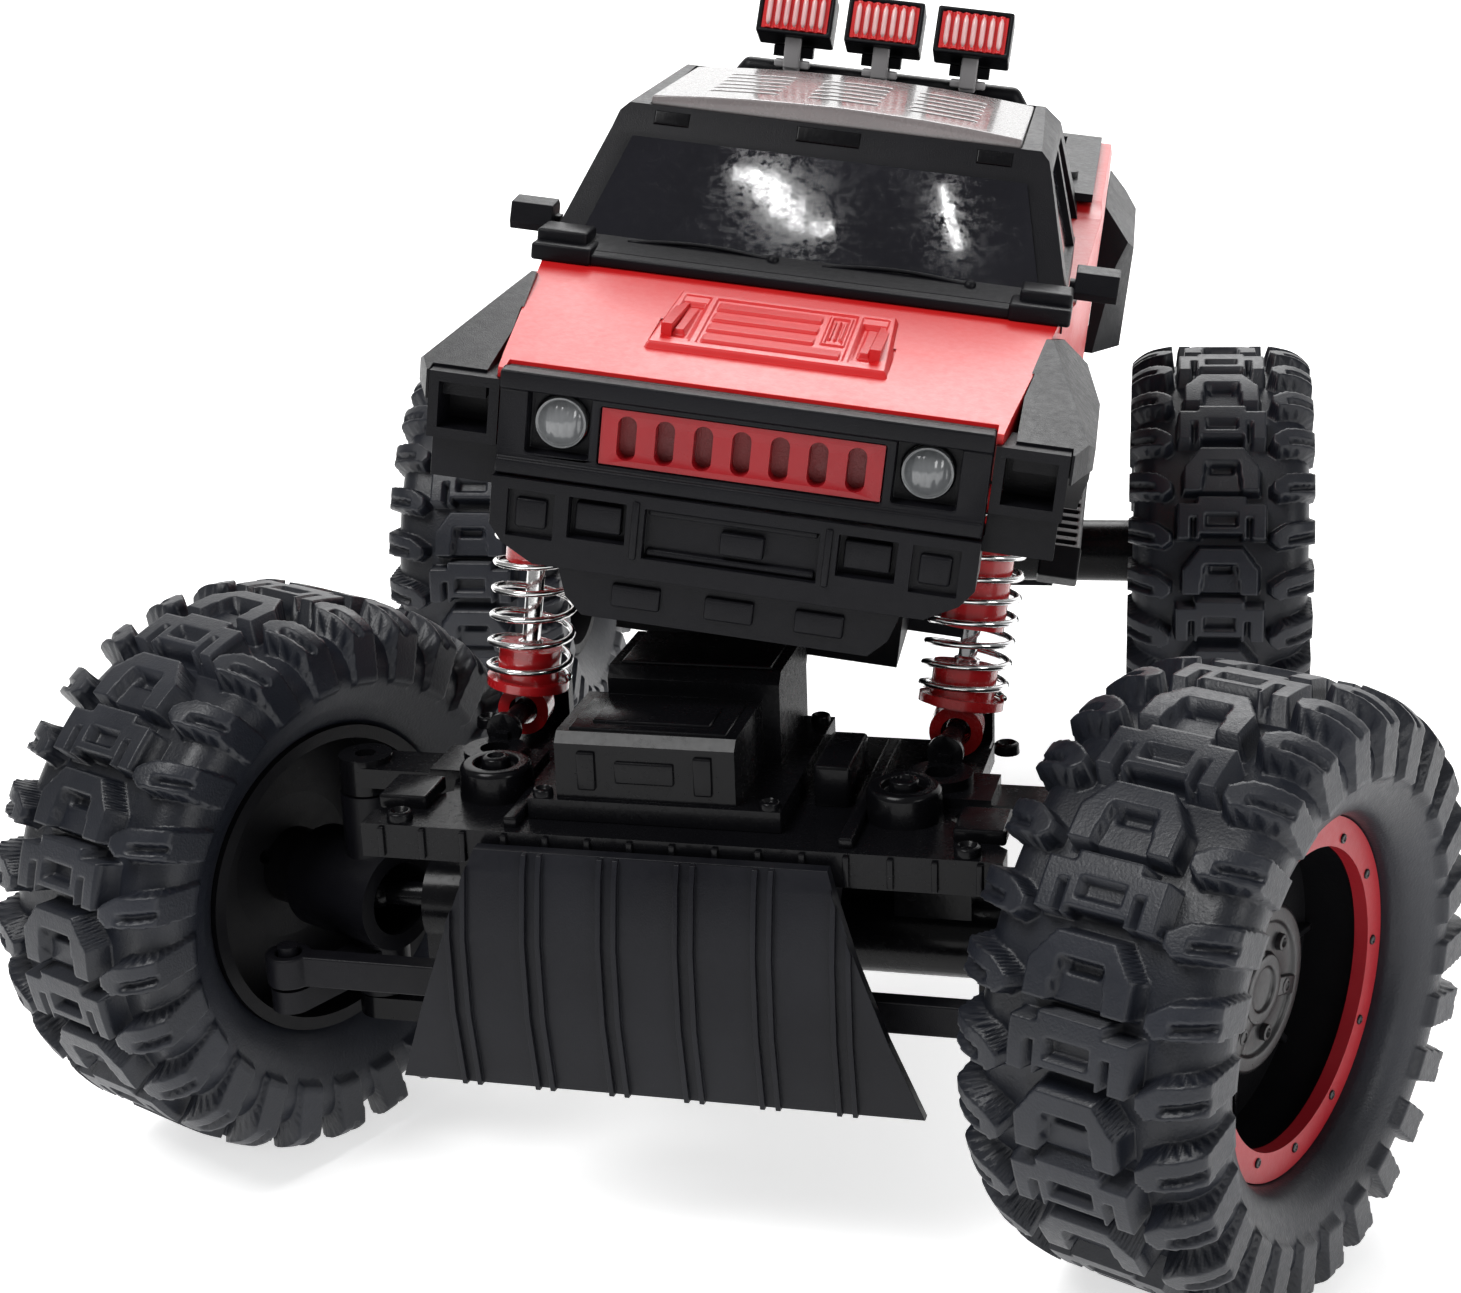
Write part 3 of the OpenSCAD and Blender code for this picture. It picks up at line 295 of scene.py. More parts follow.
def join(parts):
    """One vertex list and face list from several."""
    vs, fs, n = [], [], 0
    for v, f in parts:
        v = np.asarray(v, float)
        vs.append(v)
        fs += [tuple(int(k) + n for k in q) for q in f]
        n += len(v)
    return np.concatenate(vs), fs


def at(part, m):
    v, f = part
    v = np.asarray(v, float) @ m[:3, :3].T + m[:3, 3]
    if np.linalg.det(m[:3, :3]) < 0:
        f = [tuple(reversed(q)) for q in f]
    return v, f


def block(x0, x1, y0, y1, z0, z1, r=0.4, n=2):
    """A box with rounded edges: a cube grid whose points are pushed out from an inner box by r."""
    r = min(r, (x1 - x0) / 2.01, (y1 - y0) / 2.01, (z1 - z0) / 2.01)
    k = n + 1
    g = [np.concatenate([np.linspace(a, a + r, k), np.linspace(b - r, b, k)])
         for a, b in ((x0, x1), (y0, y1), (z0, z1))]
    vs, fs, count = [], [], 0
    for ax in range(3):
        u, v = (ax + 1) % 3, (ax + 2) % 3
        for side in (0, 1):
            uu, vv = np.meshgrid(g[u], g[v], indexing="ij")
            p = np.zeros(uu.shape + (3,))
            p[..., u], p[..., v] = uu, vv
            p[..., ax] = (g[ax][0], g[ax][-1])[side]
            vs.append(p.reshape(-1, 3))
            q = grid_faces(len(g[u]), len(g[v]), flip=(side == 0)) + count
            fs += [tuple(f) for f in q]
            count += uu.size
    v = np.concatenate(vs)
    lo = np.array([x0 + r, y0 + r, z0 + r])
    hi = np.array([x1 - r, y1 - r, z1 - r])
    c = np.clip(v, lo, hi)
    d = v - c
    length = np.linalg.norm(d, axis=1, keepdims=True)
    return c + d / np.maximum(length, 1e-9) * r, fs


def tube(path, radius, sides=12):
    """A round tube swept along a path by parallel frames; radius may vary along it."""
    p = np.asarray(path, float)
    n = len(p)
    t = np.gradient(p, axis=0)
    t /= np.linalg.norm(t, axis=1, keepdims=True)
    ref = np.array([0, 0, 1.0]) if abs(t[0][2]) < 0.9 else np.array([1.0, 0, 0])
    u = np.cross(t[0], ref)
    u /= np.linalg.norm(u)
    us = [u]
    for i in range(1, n):
        u = us[-1] - t[i] * np.dot(us[-1], t[i])
        us.append(u / np.linalg.norm(u))
    us = np.array(us)
    ws = np.cross(t, us)
    a = np.linspace(0, 2 * math.pi, sides, endpoint=False)
    rad = np.broadcast_to(np.asarray(radius, float), (n,))[:, None, None]
    v = p[:, None] + rad * (np.cos(a)[None, :, None] * us[:, None]
                            + np.sin(a)[None, :, None] * ws[:, None])
    f = [tuple(q) for q in grid_faces(n, sides, wrap_v=True)]
    v = v.reshape(-1, 3)
    k = len(v)
    v = np.concatenate([v, p[:1], p[-1:]])
    f += [(k, j, (j + 1) % sides) for j in range(sides)]
    f += [(k + 1, (n - 1) * sides + (j + 1) % sides, (n - 1) * sides + j) for j in range(sides)]
    return v, f


def lathe(profile, sides=64, axis="x"):
    """A surface of revolution: profile points are (along the axis, radius)."""
    p = np.asarray(profile, float)
    a = np.linspace(0, 2 * math.pi, sides, endpoint=False)
    along = np.repeat(p[:, 0][:, None], sides, 1)
    c, s = p[:, 1][:, None] * np.cos(a), p[:, 1][:, None] * np.sin(a)
    v = {"x": (along, c, s), "y": (s, along, c), "z": (c, s, along)}[axis]
    return np.stack(v, -1).reshape(-1, 3), [tuple(q) for q in
                                           grid_faces(len(p), sides, wrap_v=True, flip=True)]


def rounded(profile, r=0.4, n=3):
    """The same open profile with each inner corner cut by a small arc."""
    p = np.asarray(profile, float)
    out = [p[0]]
    for a, b, c in zip(p[:-2], p[1:-1], p[2:]):
        d1, d2 = a - b, c - b
        l1, l2 = np.linalg.norm(d1), np.linalg.norm(d2)
        k = min(r, l1 * 0.45, l2 * 0.45)
        s, e = b + d1 / l1 * k, b + d2 / l2 * k
        for t in np.linspace(0, 1, n + 1):
            out.append((1 - t) ** 2 * s + 2 * t * (1 - t) * b + t * t * e)
    out.append(p[-1])
    return np.array(out)


def smooth01(x):
    x = np.clip(x, 0, 1)
    return x * x * (3 - 2 * x)


def inside(x, y, pts, soft=0.35):
    """How far a point is inside a convex polygon given anticlockwise, 0 to 1 over a soft edge."""
    d = np.full(np.broadcast(x, y).shape, 1e9)
    n = len(pts)
    for i in range(n):
        ax, ay = pts[i]
        bx, by = pts[(i + 1) % n]
        ex, ey = bx - ax, by - ay
        d = np.minimum(d, (ex * (y - ay) - ey * (x - ax)) / math.hypot(ex, ey))
    return smooth01(d / soft + 0.5)


def rect(x0, x1, y0, y1):
    return [(x0, y0), (x1, y0), (x1, y1), (x0, y1)]


def soften(names, width=0.35, segments=2, angle=32):
    """Rounds the edges of CAD nodes for the picture with live modifiers only."""
    for n in names:
        o = NODES[n]
        w = o.modifiers.new("weld", "WELD")
        w.merge_threshold = 1e-6
        b = o.modifiers.new("bevel", "BEVEL")
        b.width, b.segments, b.limit_method = width * MM, segments, "ANGLE"
        b.angle_limit, b.use_clamp_overlap = math.radians(angle), True
        b.harden_normals = False
        b.miter_outer = "MITER_ARC"
        w2 = o.modifiers.new("normals", "WEIGHTED_NORMAL")
        w2.keep_sharp = True
        o.data.shade_smooth()


def paint(mat, *names):
    for n in names:
        o = NODES[n]
        o.data.materials.clear()
        o.data.materials.append(MATERIALS[mat])


WHEELS = {"front_left": (1, -1), "front_right": (-1, -1), "rear_left": (1, 1),
          "rear_right": (-1, 1)}


def wheel_body(name):
    return "wheel_" + name if name.startswith("front") else "rear_wheels"


# ---------------------------------------------------------------- camera, light and floor
def make_camera():
    az, el, roll = math.radians(9.987), math.radians(18.946), math.radians(-2.277)
    back = np.array([math.sin(az) * math.cos(el), -math.cos(az) * math.cos(el), math.sin(el)])
    right = np.cross(-back, (0, 0, 1))
    right /= np.linalg.norm(right)
    up = np.cross(right, -back)
    r2 = right * math.cos(roll) + up * math.sin(roll)
    u2 = -right * math.sin(roll) + up * math.cos(roll)
    cam = bpy.data.cameras.new("camera")
    cam.lens, cam.sensor_width = FOCAL_PX / PHOTO_W * SENSOR, SENSOR
    cam.clip_start, cam.clip_end = 0.01, 20
    o = bpy.data.objects.new("camera", cam)
    bpy.context.scene.collection.objects.link(o)
    m = np.eye(4)
    m[:3, 0], m[:3, 1], m[:3, 2] = r2, u2, back
    m[:3, 3] = EYE * MM
    o.matrix_world = Matrix(m.tolist())
    bpy.context.scene.camera = o


def area(name, loc, target, size, power, color=(1, 1, 1), size_y=None):
    light = bpy.data.lights.new(name, "AREA")
    light.energy, light.color = power, color
    light.shape, light.size = "RECTANGLE", size
    light.size_y = size_y or size
    o = bpy.data.objects.new(name, light)
    d = np.array(target, float) - np.array(loc, float)
    d /= np.linalg.norm(d)
    o.rotation_mode = "QUATERNION"
    o.location = loc
    o.rotation_quaternion = Vector(d).to_track_quat("-Z", "Y")
    bpy.context.scene.collection.objects.link(o)


FLOOR_GLOW, SKY = 0.62, 0.30


def make_stage():
    """A pale floor that curves up into a backdrop behind the car: a profile swept sideways."""
    t = np.linspace(0, math.pi / 2, 24)
    y = np.concatenate([[-1.6], 1.2 + 0.5 * np.sin(t), [1.7]])
    z = np.concatenate([[0.0], 0.5 - 0.5 * np.cos(t), [2.4]])
    x = np.array([-2.6, 2.6])
    v = np.stack([np.repeat(x, len(y)), np.tile(y, 2), np.tile(z, 2)], -1)
    me = bpy.data.meshes.new("floor")
    me.from_pydata(v.tolist(), [], grid_faces(2, len(y)).tolist())
    me.shade_smooth()
    o = bpy.data.objects.new("floor", me)
    bpy.context.scene.collection.objects.link(o)
    m = bpy.data.materials.new("floor")
    m.use_nodes = True
    p = m.node_tree.nodes["Principled BSDF"]
    p.inputs["Base Color"].default_value = (0.93, 0.93, 0.93, 1)
    p.inputs["Roughness"].default_value = 0.8
    p.inputs["Specular IOR Level"].default_value = 0.1
    p.inputs["Emission Color"].default_value = (1, 1, 1, 1)
    p.inputs["Emission Strength"].default_value = FLOOR_GLOW
    me.materials.append(m)
    w = bpy.data.worlds.new("studio")
    bpy.context.scene.world = w
    w.use_nodes = True
    w.node_tree.nodes["Background"].inputs["Color"].default_value = (1, 1, 1, 1)
    w.node_tree.nodes["Background"].inputs["Strength"].default_value = SKY
    area("key", (-0.45, -0.55, 1.15), (0, 0, 0.06), 0.55, 11)
    area("fill", (1.1, -0.9, 0.55), (0, -0.05, 0.06), 0.5, 4)
    area("back", (0.1, 1.0, 1.0), (0, 0, 0.08), 0.7, 8)
    bpy.context.scene.view_settings.view_transform = "Standard"


make_camera()
make_stage()


# ---------------------------------------------------------------- tyres
PAIRS = 13
PITCH = 2 * math.pi * 40.5 / PAIRS      # arc length of one pair of centre lugs, in mm


def tread(s, x):
    """Height of the tread, 0 to 1, at arc s within one pitch (centred on 0) and lateral x.
    A bracket lug sits at s = 0 and a block lug half a pitch on. Slanted shoulder lugs stand
    between them, twice a pitch on each side."""
    ax = np.abs(x)
    h = np.zeros(np.broadcast(s, x).shape)
    # bracket lug: a trough-shaped outline with its inside cut away
    for k in (-1, 0, 1):
        t = s + k * PITCH
        outer = inside(x, t, [(-4.2, -4.4), (4.2, -4.4), (7.4, -0.2), (7.4, 4.6), (-7.4, 4.6),
                              (-7.4, -0.2)])
        well = inside(x, t, [(-3.1, -1.2), (3.1, -1.2), (4.0, 5.4), (-4.0, 5.4)])
        floor_cut = inside(x, t, [(-2.2, -1.0), (2.2, -1.0), (2.2, 0.6), (-2.2, 0.6)])
        h = np.maximum(h, outer * (1 - 0.45 * well) - 0.3 * floor_cut)
        # block lug: a wide bar with a stepped edge and two slots
        t = s + k * PITCH + PITCH / 2
        mid = inside(x, t, rect(-4.8, 4.8, -4.2, 3.0))
        wing = inside(ax, t, rect(4.0, 8.6, -2.9, 3.9))
        pocket = inside(x, t, rect(-3.0, 3.0, -0.9, 1.4))
        slot = inside(ax, t, rect(4.9, 5.9, -0.2, 5.0))
        h = np.maximum(h, np.maximum(mid, wing) * (1 - 0.5 * pocket) * (1 - 0.55 * slot))
    # shoulder lugs
    for k in range(-2, 3):
        t = s + k * PITCH / 2 + PITCH / 4 + 0.34 * (ax - 9.6)
        lug = inside(ax, t, [(9.4, -2.2), (12.0, -3.2), (22.5, -3.0), (22.5, 3.1), (12.6, 3.3),
                             (10.8, 1.2), (9.4, 1.0)])
        nick = inside(ax, t, rect(12.6, 16.2, -0.55, 0.55))
        h = np.maximum(h, lug * (1 - 0.35 * nick))
    return h


def tyre_mesh():
    """The tyre: a carcass profile in (x, radius) swept round the axle, pushed out along its own
    normal by the tread height."""
    base = 38.9
    prof = rounded([(-12, 24.1), (-13.4, 25.4), (-15.4, 28.0), (-17.1, 31.6), (-17.2, 34.4),
                    (-16.0, 37.0), (-13.6, 38.6), (-9, base), (9, base), (13.6, 38.6), (16.0, 37.0),
                    (17.2, 34.4), (17.1, 31.6), (15.6, 28.2), (14.2, 26.4), (12.2, 25.5),
                    (11.0, 25.4), (9.2, 25.35), (8.8, 24.1)], 2.2, 4)
    seg = np.linalg.norm(np.diff(prof, axis=0), axis=1)
    arc = np.concatenate([[0], np.cumsum(seg)])
    # even samples, finer over the tread
    want = []
    for a0, a1, r0 in zip(arc[:-1], arc[1:], prof[:-1, 1]):
        step = 0.36 if r0 > 33.0 else 0.9
        want += list(np.arange(a0, a1, step))
    want = np.unique(np.concatenate([want, [arc[-1]]]))
    keep = np.concatenate([[True], np.diff(want) > 0.12])
    want = want[keep]
    px, pr = np.interp(want, arc, prof[:, 0]), np.interp(want, arc, prof[:, 1])
    nx, nr = -np.gradient(pr, want), np.gradient(px, want)
    k = np.hypot(nx, nr)
    nx, nr = nx / k, nr / k
    per = 58
    n = PAIRS * per
    theta = np.linspace(0, 2 * math.pi, n, endpoint=False)
    s = (theta / (2 * math.pi) * PAIRS + 0.5) % 1 - 0.5
    s = s * PITCH
    # lateral distance along the profile from the crown, so that lugs wrap over the shoulder
    crown = want[np.argmin(np.abs(px) + (pr < 38) * 100)]
    lat = want - crown
    H = tread(s[:, None], lat[None, :])
    al = np.abs(lat)
    reach = 1 - smooth01((al - 21.0) / 1.6)
    high = 4.2 - 0.9 * smooth01((al - 9) / 8) - 1.7 * smooth01((al - 15.5) / 5)
    H = H * (high * reach)[None, :]
    X = px[None, :] + nx[None, :] * H
    Rr = pr[None, :] + nr[None, :] * H
    Rr = np.minimum(Rr, TYRE_R)
    X = np.clip(X, -TYRE_HALF, TYRE_HALF)
    v = np.stack([X, Rr * np.cos(theta)[:, None], Rr * np.sin(theta)[:, None]], -1)
    return v.reshape(-1, 3), grid_faces(n, len(want), wrap_u=True)


TYRE = tyre_mesh()
v = TYRE[0]
# outward check: the crown faces away from the axle
f0 = TYRE[1][len(TYRE[1]) // 2]
a, b, c = v[f0[0]], v[f0[1]], v[f0[2]]
if np.dot(np.cross(b - a, c - a), (0, a[1], a[2])) < 0:
    TYRE = (v, TYRE[1][:, ::-1])
for k, name in enumerate(WHEELS):
    spin = turn((1, 0, 0), 0.31 + 0.83 * k)
    o = piece("tyre_" + name, TYRE[0], TYRE[1], "rubber", m=wheel(*WHEELS[name]) @ spin)
    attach(o, wheel_body(name))
    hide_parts("tyre_" + name)


# ---------------------------------------------------------------- springs
def coil(r, wire, z0, z1, turns, per=28, sides=8):
    """A coil spring: a tube along a helix whose pitch closes up over the first and last turn."""
    t = np.linspace(0, 1, int(turns * per) + 1)
    e = 1.0 / turns
    rate = 0.28 + 0.72 * smooth01(t / e) * smooth01((1 - t) / e)
    z = np.concatenate([[0], np.cumsum((rate[1:] + rate[:-1]) / 2)])
    z = z0 + (z1 - z0) * z / z[-1]
    a = t * turns * 2 * math.pi
    return tube(np.stack([r * np.cos(a), r * np.sin(a), z], -1), wire, sides)


def point(m, p):
    return m[:3, :3] @ np.asarray(p, float) + m[:3, 3]


def glints():
    """Small lamps that the windscreen mirrors as a curved and two short streaks. A lamp stands on
    the line g + t (2 (n.v) n - v), for the glass point g, its normal n and the eye direction v."""
    spots = [(-12, 0.72, 0.016, 0.008), (-8.5, 0.64, 0.016, 0.016), (-6.0, 0.52, 0.012, 0.020),
             (-3.0, 0.40, 0.010, 0.018), (1.0, 0.31, 0.014, 0.008), (19, 0.72, 0.005, 0.018),
             (21, 0.46, 0.006, 0.026)]
    n = BODY[:3, :3] @ np.array([0, -0.717, 0.697])
    for i, (x, s, w, h) in enumerate(spots):
        g = point(BODY, (x, -47.4 + 13.3 * s, 131.4 + 13.7 * s))
        v = (EYE - g) / np.linalg.norm(EYE - g)
        loc = g + 1120 * (2 * (n @ v) * n - v)
        area("glint_%d" % i, tuple(loc * MM), tuple(g * MM), w, w * h * 110, size_y=h)


glints()
EYE_TOP, EYE_LOW, SHOCK_X = 111.0, 25.6, 33.0


def shock_frame(side, fore):
    """The frame of a shock, origin at its lower eye and +Z towards the upper one, and its length."""
    top = point(BODY, (side * SHOCK_X, fore * 72, EYE_TOP))
    low = point(FRONT if fore < 0 else CAR, (side * SHOCK_X, fore * 78, TYRE_R + EYE_LOW))
    u = top - low
    length = np.linalg.norm(u)
    u = u / length
    tilt = turn((0, 1, 0), math.atan2(u[0], u[2])) @ turn((1, 0, 0), -math.asin(u[1]))
    return move(*low) @ tilt, length


for name in WHEELS:
    m, length = shock_frame(*WHEELS[name])
    o = piece("spring_" + name, *coil(6.1, 0.5, 5.2, length - 5.8, 9.5), "chrome", m=m)
    s, e = point(m, (0, 0, length - 5.6)), point(m, (0, 0, 5.0))
    tuple(s * MM)
    tuple(e * MM)
    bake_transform(o)
    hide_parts("shock_spring_" + name)


# ---------------------------------------------------------------- body details
NOSE_Y = -103.0


def on_body(name, part, mat, slot, **k):
    return piece(name, *part, mat, body="chassis", m=BODY, slot=slot, **k)


def hood_z(y):
    """Height of the hood line: straight from its front edge to the cowl."""
    return 123.5 + (y + 95) * 5.5 / 41


def hood_vents():
    """The raised vent panel of the hood: a height field z = hood line + h(x, y), where h is a
    plateau with a bevelled rim, two scoop pits with curved floors, sloping louvres between them
    and a small three-bar vent beside the louvres."""
    x, y = np.meshgrid(np.arange(-18, 18.01, 0.14), np.arange(-87.5, -62.99, 0.14), indexing="ij")
    pan = inside(x, y, [(-16.9, -86.6), (16.9, -86.6), (16.0, -64.6), (-16.0, -64.6)], 0.8)
    h = -0.25 + 1.15 * pan
    h = h - 0.28 * (pan > 0.98) * inside(x, y, rect(-10.2, 10.4, -84.6, -66.2), 0.3)
    for k in (-1, 1):
        pit = inside(x * k, y, rect(11.2, 15.0, -84.6, -66.2), 0.3)
        well = inside(x * k, y, rect(11.6, 14.6, -83.2, -68.6), 0.5)
        slope = np.clip((y + 83.2) / 14.6, 0, 1)
        h = h - 0.2 * pit - well * (0.15 + 0.55 * slope)
        lip = inside(x * k, y, rect(12.3, 13.9, -82.0, -69.6), 0.5)
        h = h + lip * (0.95 - 0.75 * slope)
    for i, y0 in enumerate((-83.6, -79.3, -75.0, -70.7)):
        bar = inside(x, y, rect(-9.6, 5.6 if i else 9.8, y0, y0 + 3.5), 0.25)
        h = h + bar * (0.42 - 0.42 * np.clip((y - y0) / 3.5, 0, 1))
    small = inside(x, y, rect(6.6, 9.9, -78.8, -67.4), 0.25)
    h = h + 0.25 * small - 0.3 * inside(x, y, rect(7.1, 9.4, -78.2, -68.0), 0.25)
    for x0 in (7.5, 8.3, 9.1):
        h = h + 0.4 * small * inside(x, y, rect(x0 - 0.18, x0 + 0.18, -76.5, -69.5), 0.2)
    v = np.stack([x, y, hood_z(y) + h], -1).reshape(-1, 3)
    return v, grid_faces(*x.shape)


on_body("hood_vents", hood_vents(), "red_paint", "red_satin", sharp=50)


def plate(corners, thick, r=0.3):
    """A thin rounded plate over a flat quadrilateral: a bilinear grid pushed out along the
    normal by thick, with a quarter-round drop within r of its border."""
    c = np.asarray(corners, float)
    n = np.cross(c[1] - c[0], c[3] - c[0])
    n /= np.linalg.norm(n)
    lu = (np.linalg.norm(c[1] - c[0]) + np.linalg.norm(c[2] - c[3])) / 2
    lv = (np.linalg.norm(c[3] - c[0]) + np.linalg.norm(c[2] - c[1])) / 2

    def ticks(length):
        e = np.linspace(0, 1, 5)
        return np.concatenate([e * r / length, 1 - e[::-1] * r / length])
    u, v = np.meshgrid(ticks(lu), ticks(lv), indexing="ij")
    p = ((1 - u) * (1 - v))[..., None] * c[0] + (u * (1 - v))[..., None] * c[1] \
        + (u * v)[..., None] * c[2] + ((1 - u) * v)[..., None] * c[3]
    d = np.minimum(np.minimum(u, 1 - u) * lu, np.minimum(v, 1 - v) * lv) / r
    h = thick * np.sqrt(np.clip(1 - (1 - np.clip(d, 0, 1)) ** 2, 0, 1))
    p = p + h[..., None] * n - 0.02 * n
    return p.reshape(-1, 3), grid_faces(*u.shape)


# three marker plates on the visor above the windscreen
def visor(x0, x1, a, b, thick):
    lo = np.array([0, -32.5, 146.0]) + np.array([0, 2.0, 3.7]) * a
    hi = np.array([0, -32.5, 146.0]) + np.array([0, 2.0, 3.7]) * b
    return plate([(x0, lo[1], lo[2]), (x1, lo[1], lo[2]), (x1, hi[1], hi[2]), (x0, hi[1], hi[2])],
                 thick)


on_body("visor_markers", join([visor(-28.2, -22.6, 0.25, 0.8, 0.3), visor(-5.6, 4.4, 0.25, 0.85, 0.3),
                               visor(22.6, 28.2, 0.25, 0.8, 0.3)]), "black_gloss", "black_matte")
# cowl: end blocks, a ribbed strip and two wipers
cowl = [block(k * 36 - 4.6, k * 36 + 4.6, -57.6, -50.0, 128.6, 131.2, 0.5) for k in (-1, 1)]
cowl += [block(k * 36.6 - 3.9, k * 36.6 + 3.9, -54.6, -47.6, 129.6, 132.9, 0.6) for k in (-1, 1)]
cowl += [block(x - 6.5, x + 6.5, -55.6, -50.2, 129.2, 130.35, 0.3) for x in (-21, -7, 7, 21)]
cowl += [block(-31.6, 31.6, -57.2, -56.1, 128.8, 130.3, 0.3)]
for x0, x1 in ((-27.5, -5.0), (2.5, 25.0)):
    t = np.linspace(0, 1, 15)
    cowl.append(tube(np.stack([x0 + (x1 - x0) * t, -49.1 + 0.9 * np.sin(math.pi * t),
                               131.3 + 0.7 * np.sin(math.pi * t)], -1), 0.34, 8))
    cowl.append(at(lathe([(0, 0.01), (0, 1.0), (1.4, 0.9), (1.7, 0.5), (1.75, 0.01)], 20, "z"),
                   move(x1, -49.3, 130.4)))
on_body("cowl_trim", join(cowl), "black_matte", "black_matte")

# grille: dark mesh at the bottom of each slot
def capsule(cx, z0, z1, r, y):
    a = np.linspace(0, math.pi, 13)
    ring = np.concatenate([np.stack([cx + r * np.cos(a), z1 + r * np.sin(a)], -1),
                           np.stack([cx - r * np.cos(a), z0 - r * np.sin(a)], -1)])
    pts = np.concatenate([[[cx, (z0 + z1) / 2]], ring])
    v = np.stack([pts[:, 0], np.full(len(pts), y), pts[:, 1]], -1)
    n = len(ring)
    return v, [(0, 1 + i, 1 + (i + 1) % n) for i in range(n)]


on_body("grille_mesh", join([capsule(i * 5.2, 113.7, 117.3, 1.28, NOSE_Y + 3.36)
                             for i in range(-3, 4)]), "mesh_dark_red", "red_satin")


def lens_dome(cx):
    """A headlamp lens: a shallow dome y = -1.5 (1 - (r / R)^2) with vertical flutes
    0.09 |sin(2.6 x)|, inside a plain rim."""
    r = np.concatenate([np.linspace(0.01, 3.2, 22), [3.35, 3.45, 3.5, 3.5]])
    a = np.linspace(0, 2 * math.pi, 72, endpoint=False)
    rr, aa = np.meshgrid(r, a, indexing="ij")
    x, z = rr * np.cos(aa), rr * np.sin(aa)
    y = -1.5 * (1 - (np.minimum(rr, 3.2) / 3.3) ** 2) - 0.10 * np.abs(np.sin(2.6 * x)) * (rr < 3.05)
    y = np.where(rr > 3.3, -0.45, y)
    y[-1] = 1.5
    v = np.stack([cx + x, NOSE_Y + 2.6 + y, 116.1 + z], -1).reshape(-1, 3)
    return v, [tuple(q) for q in grid_faces(*x.shape, wrap_v=True)]


o = on_body("headlamp_lenses", join([lens_dome(-25), lens_dome(25)]), "clear_lens", "clear_lens")
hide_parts("headlights")

# bumper: winch block, seams and tabs
bump = [block(-1.5, 4.5, -103.2, -101.2, 101.4, 104.6, 0.4),
        block(-11.6, 11.6, -102.6, -101.4, 99.7, 100.7, 0.3),
        block(-11.6, 11.6, -102.6, -101.4, 105.4, 106.4, 0.3)]
for k in (-1, 1):
    bump += [block(k * 27.75 - 2.2, k * 27.75 + 2.2, -103.2, -102.2, 101.4, 105.6, 0.5),
             block(k * 18.5 - 3.2, k * 18.5 + 3.2, -102.5, -101.0, 101.9, 105.9, 0.3),
             block(k * 13.2 - 0.5, k * 13.2 + 0.5, -103.9, -102.0, 99.2, 107.4, 0.3)]
for x in (-12.5, 0.5, 13):
    bump += [block(x - 3.4, x + 3.4, -102.3, -101.0, 91.6, 94.9, 0.4)]
on_body("bumper_trim", join(bump), "black_matte", "black_matte")


# lamps: pale ribs in front of the red lenses, and grey brackets
def lamp(x):
    return move(x, 38, 158.2) @ turn((1, 0, 0), math.radians(-22))


ribs, brackets = [], []
for x in (-16, 0, 16):
    for i in range(-3, 4):
        t = np.linspace(-2.85, 2.85, 9)
        bulge = 0.46 * np.sqrt(np.clip(1 - (np.abs(t) / 2.9) ** 6, 0, 1)) + 0.02
        path = np.stack([np.full(9, i * 1.58), np.full(9, -4.05), t], -1)
        ribs.append(at(tube(path, bulge, 12), lamp(x)))
    brackets += [block(x - 1.5, x + 1.5, 34.4, 35.6, 149.6, 155.2, 0.4),
                 block(x - 3.2, x + 3.2, 35.2, 37.2, 149.6, 151.0, 0.4),
                 block(x - 1.5, x + 1.5, 35.0, 39.5, 149.0, 150.4, 0.4)]
on_body("lamp_ribs", join(ribs), "pink_rib", "red_lens")
on_body("lamp_brackets", join(brackets), "bracket_grey", "black_matte")

# plated rods of the shocks
for name in WHEELS:
    m, length = shock_frame(*WHEELS[name])
    piece("rod_" + name, *lathe([(9.4, 1.4), (9.6, 1.9), (10.3, 1.9), (10.6, 1.36), (28.5, 1.36),
                                 (28.9, 1.2)], 24, "z"), "chrome", m=m,
          body="shock_piston_" + name, slot="spring_steel", sharp=40)


# ---------------------------------------------------------------- wheels
HUB_X = 5.5


def hub_trim():
    """Trim of a wheel: a stepped hub disc turned on a lathe, three raised webs, six screws with
    sunk sockets, a centre cap and eight ribs down the dish."""
    parts = [lathe(rounded([(HUB_X - 4.5, 12.2), (HUB_X - 0.4, 12.0), (HUB_X + 0.1, 11.4),
                            (HUB_X + 0.1, 9.6), (HUB_X - 0.5, 9.2), (HUB_X - 0.5, 5.2),
                            (HUB_X + 0.3, 4.9), (HUB_X + 0.3, 3.3), (HUB_X - 0.2, 3.0),
                            (HUB_X - 0.2, 0.01)], 0.25, 3), 72)]
    for i in range(3):
        web = block(HUB_X - 0.8, HUB_X + 0.15, -1.4, 1.4, 4.6, 9.9, 0.3)
        parts.append(at(web, turn((1, 0, 0), math.radians(120 * i + 12))))
    for i in range(6):
        screw = lathe(rounded([(HUB_X - 0.6, 1.25), (HUB_X + 0.25, 1.15), (HUB_X + 0.35, 0.7),
                               (HUB_X - 0.1, 0.55), (HUB_X - 0.1, 0.01)], 0.1, 2), 20)
        a = math.radians(60 * i + 42)
        parts.append(at(screw, move(0, 7.3 * math.cos(a), 7.3 * math.sin(a))))
    for i in range(8):
        rib = block(0.4, 2.2, -0.5, 0.5, 12.0, 21.6, 0.25)
        parts.append(at(rib, turn((1, 0, 0), math.radians(45 * i))))
    return join(parts)


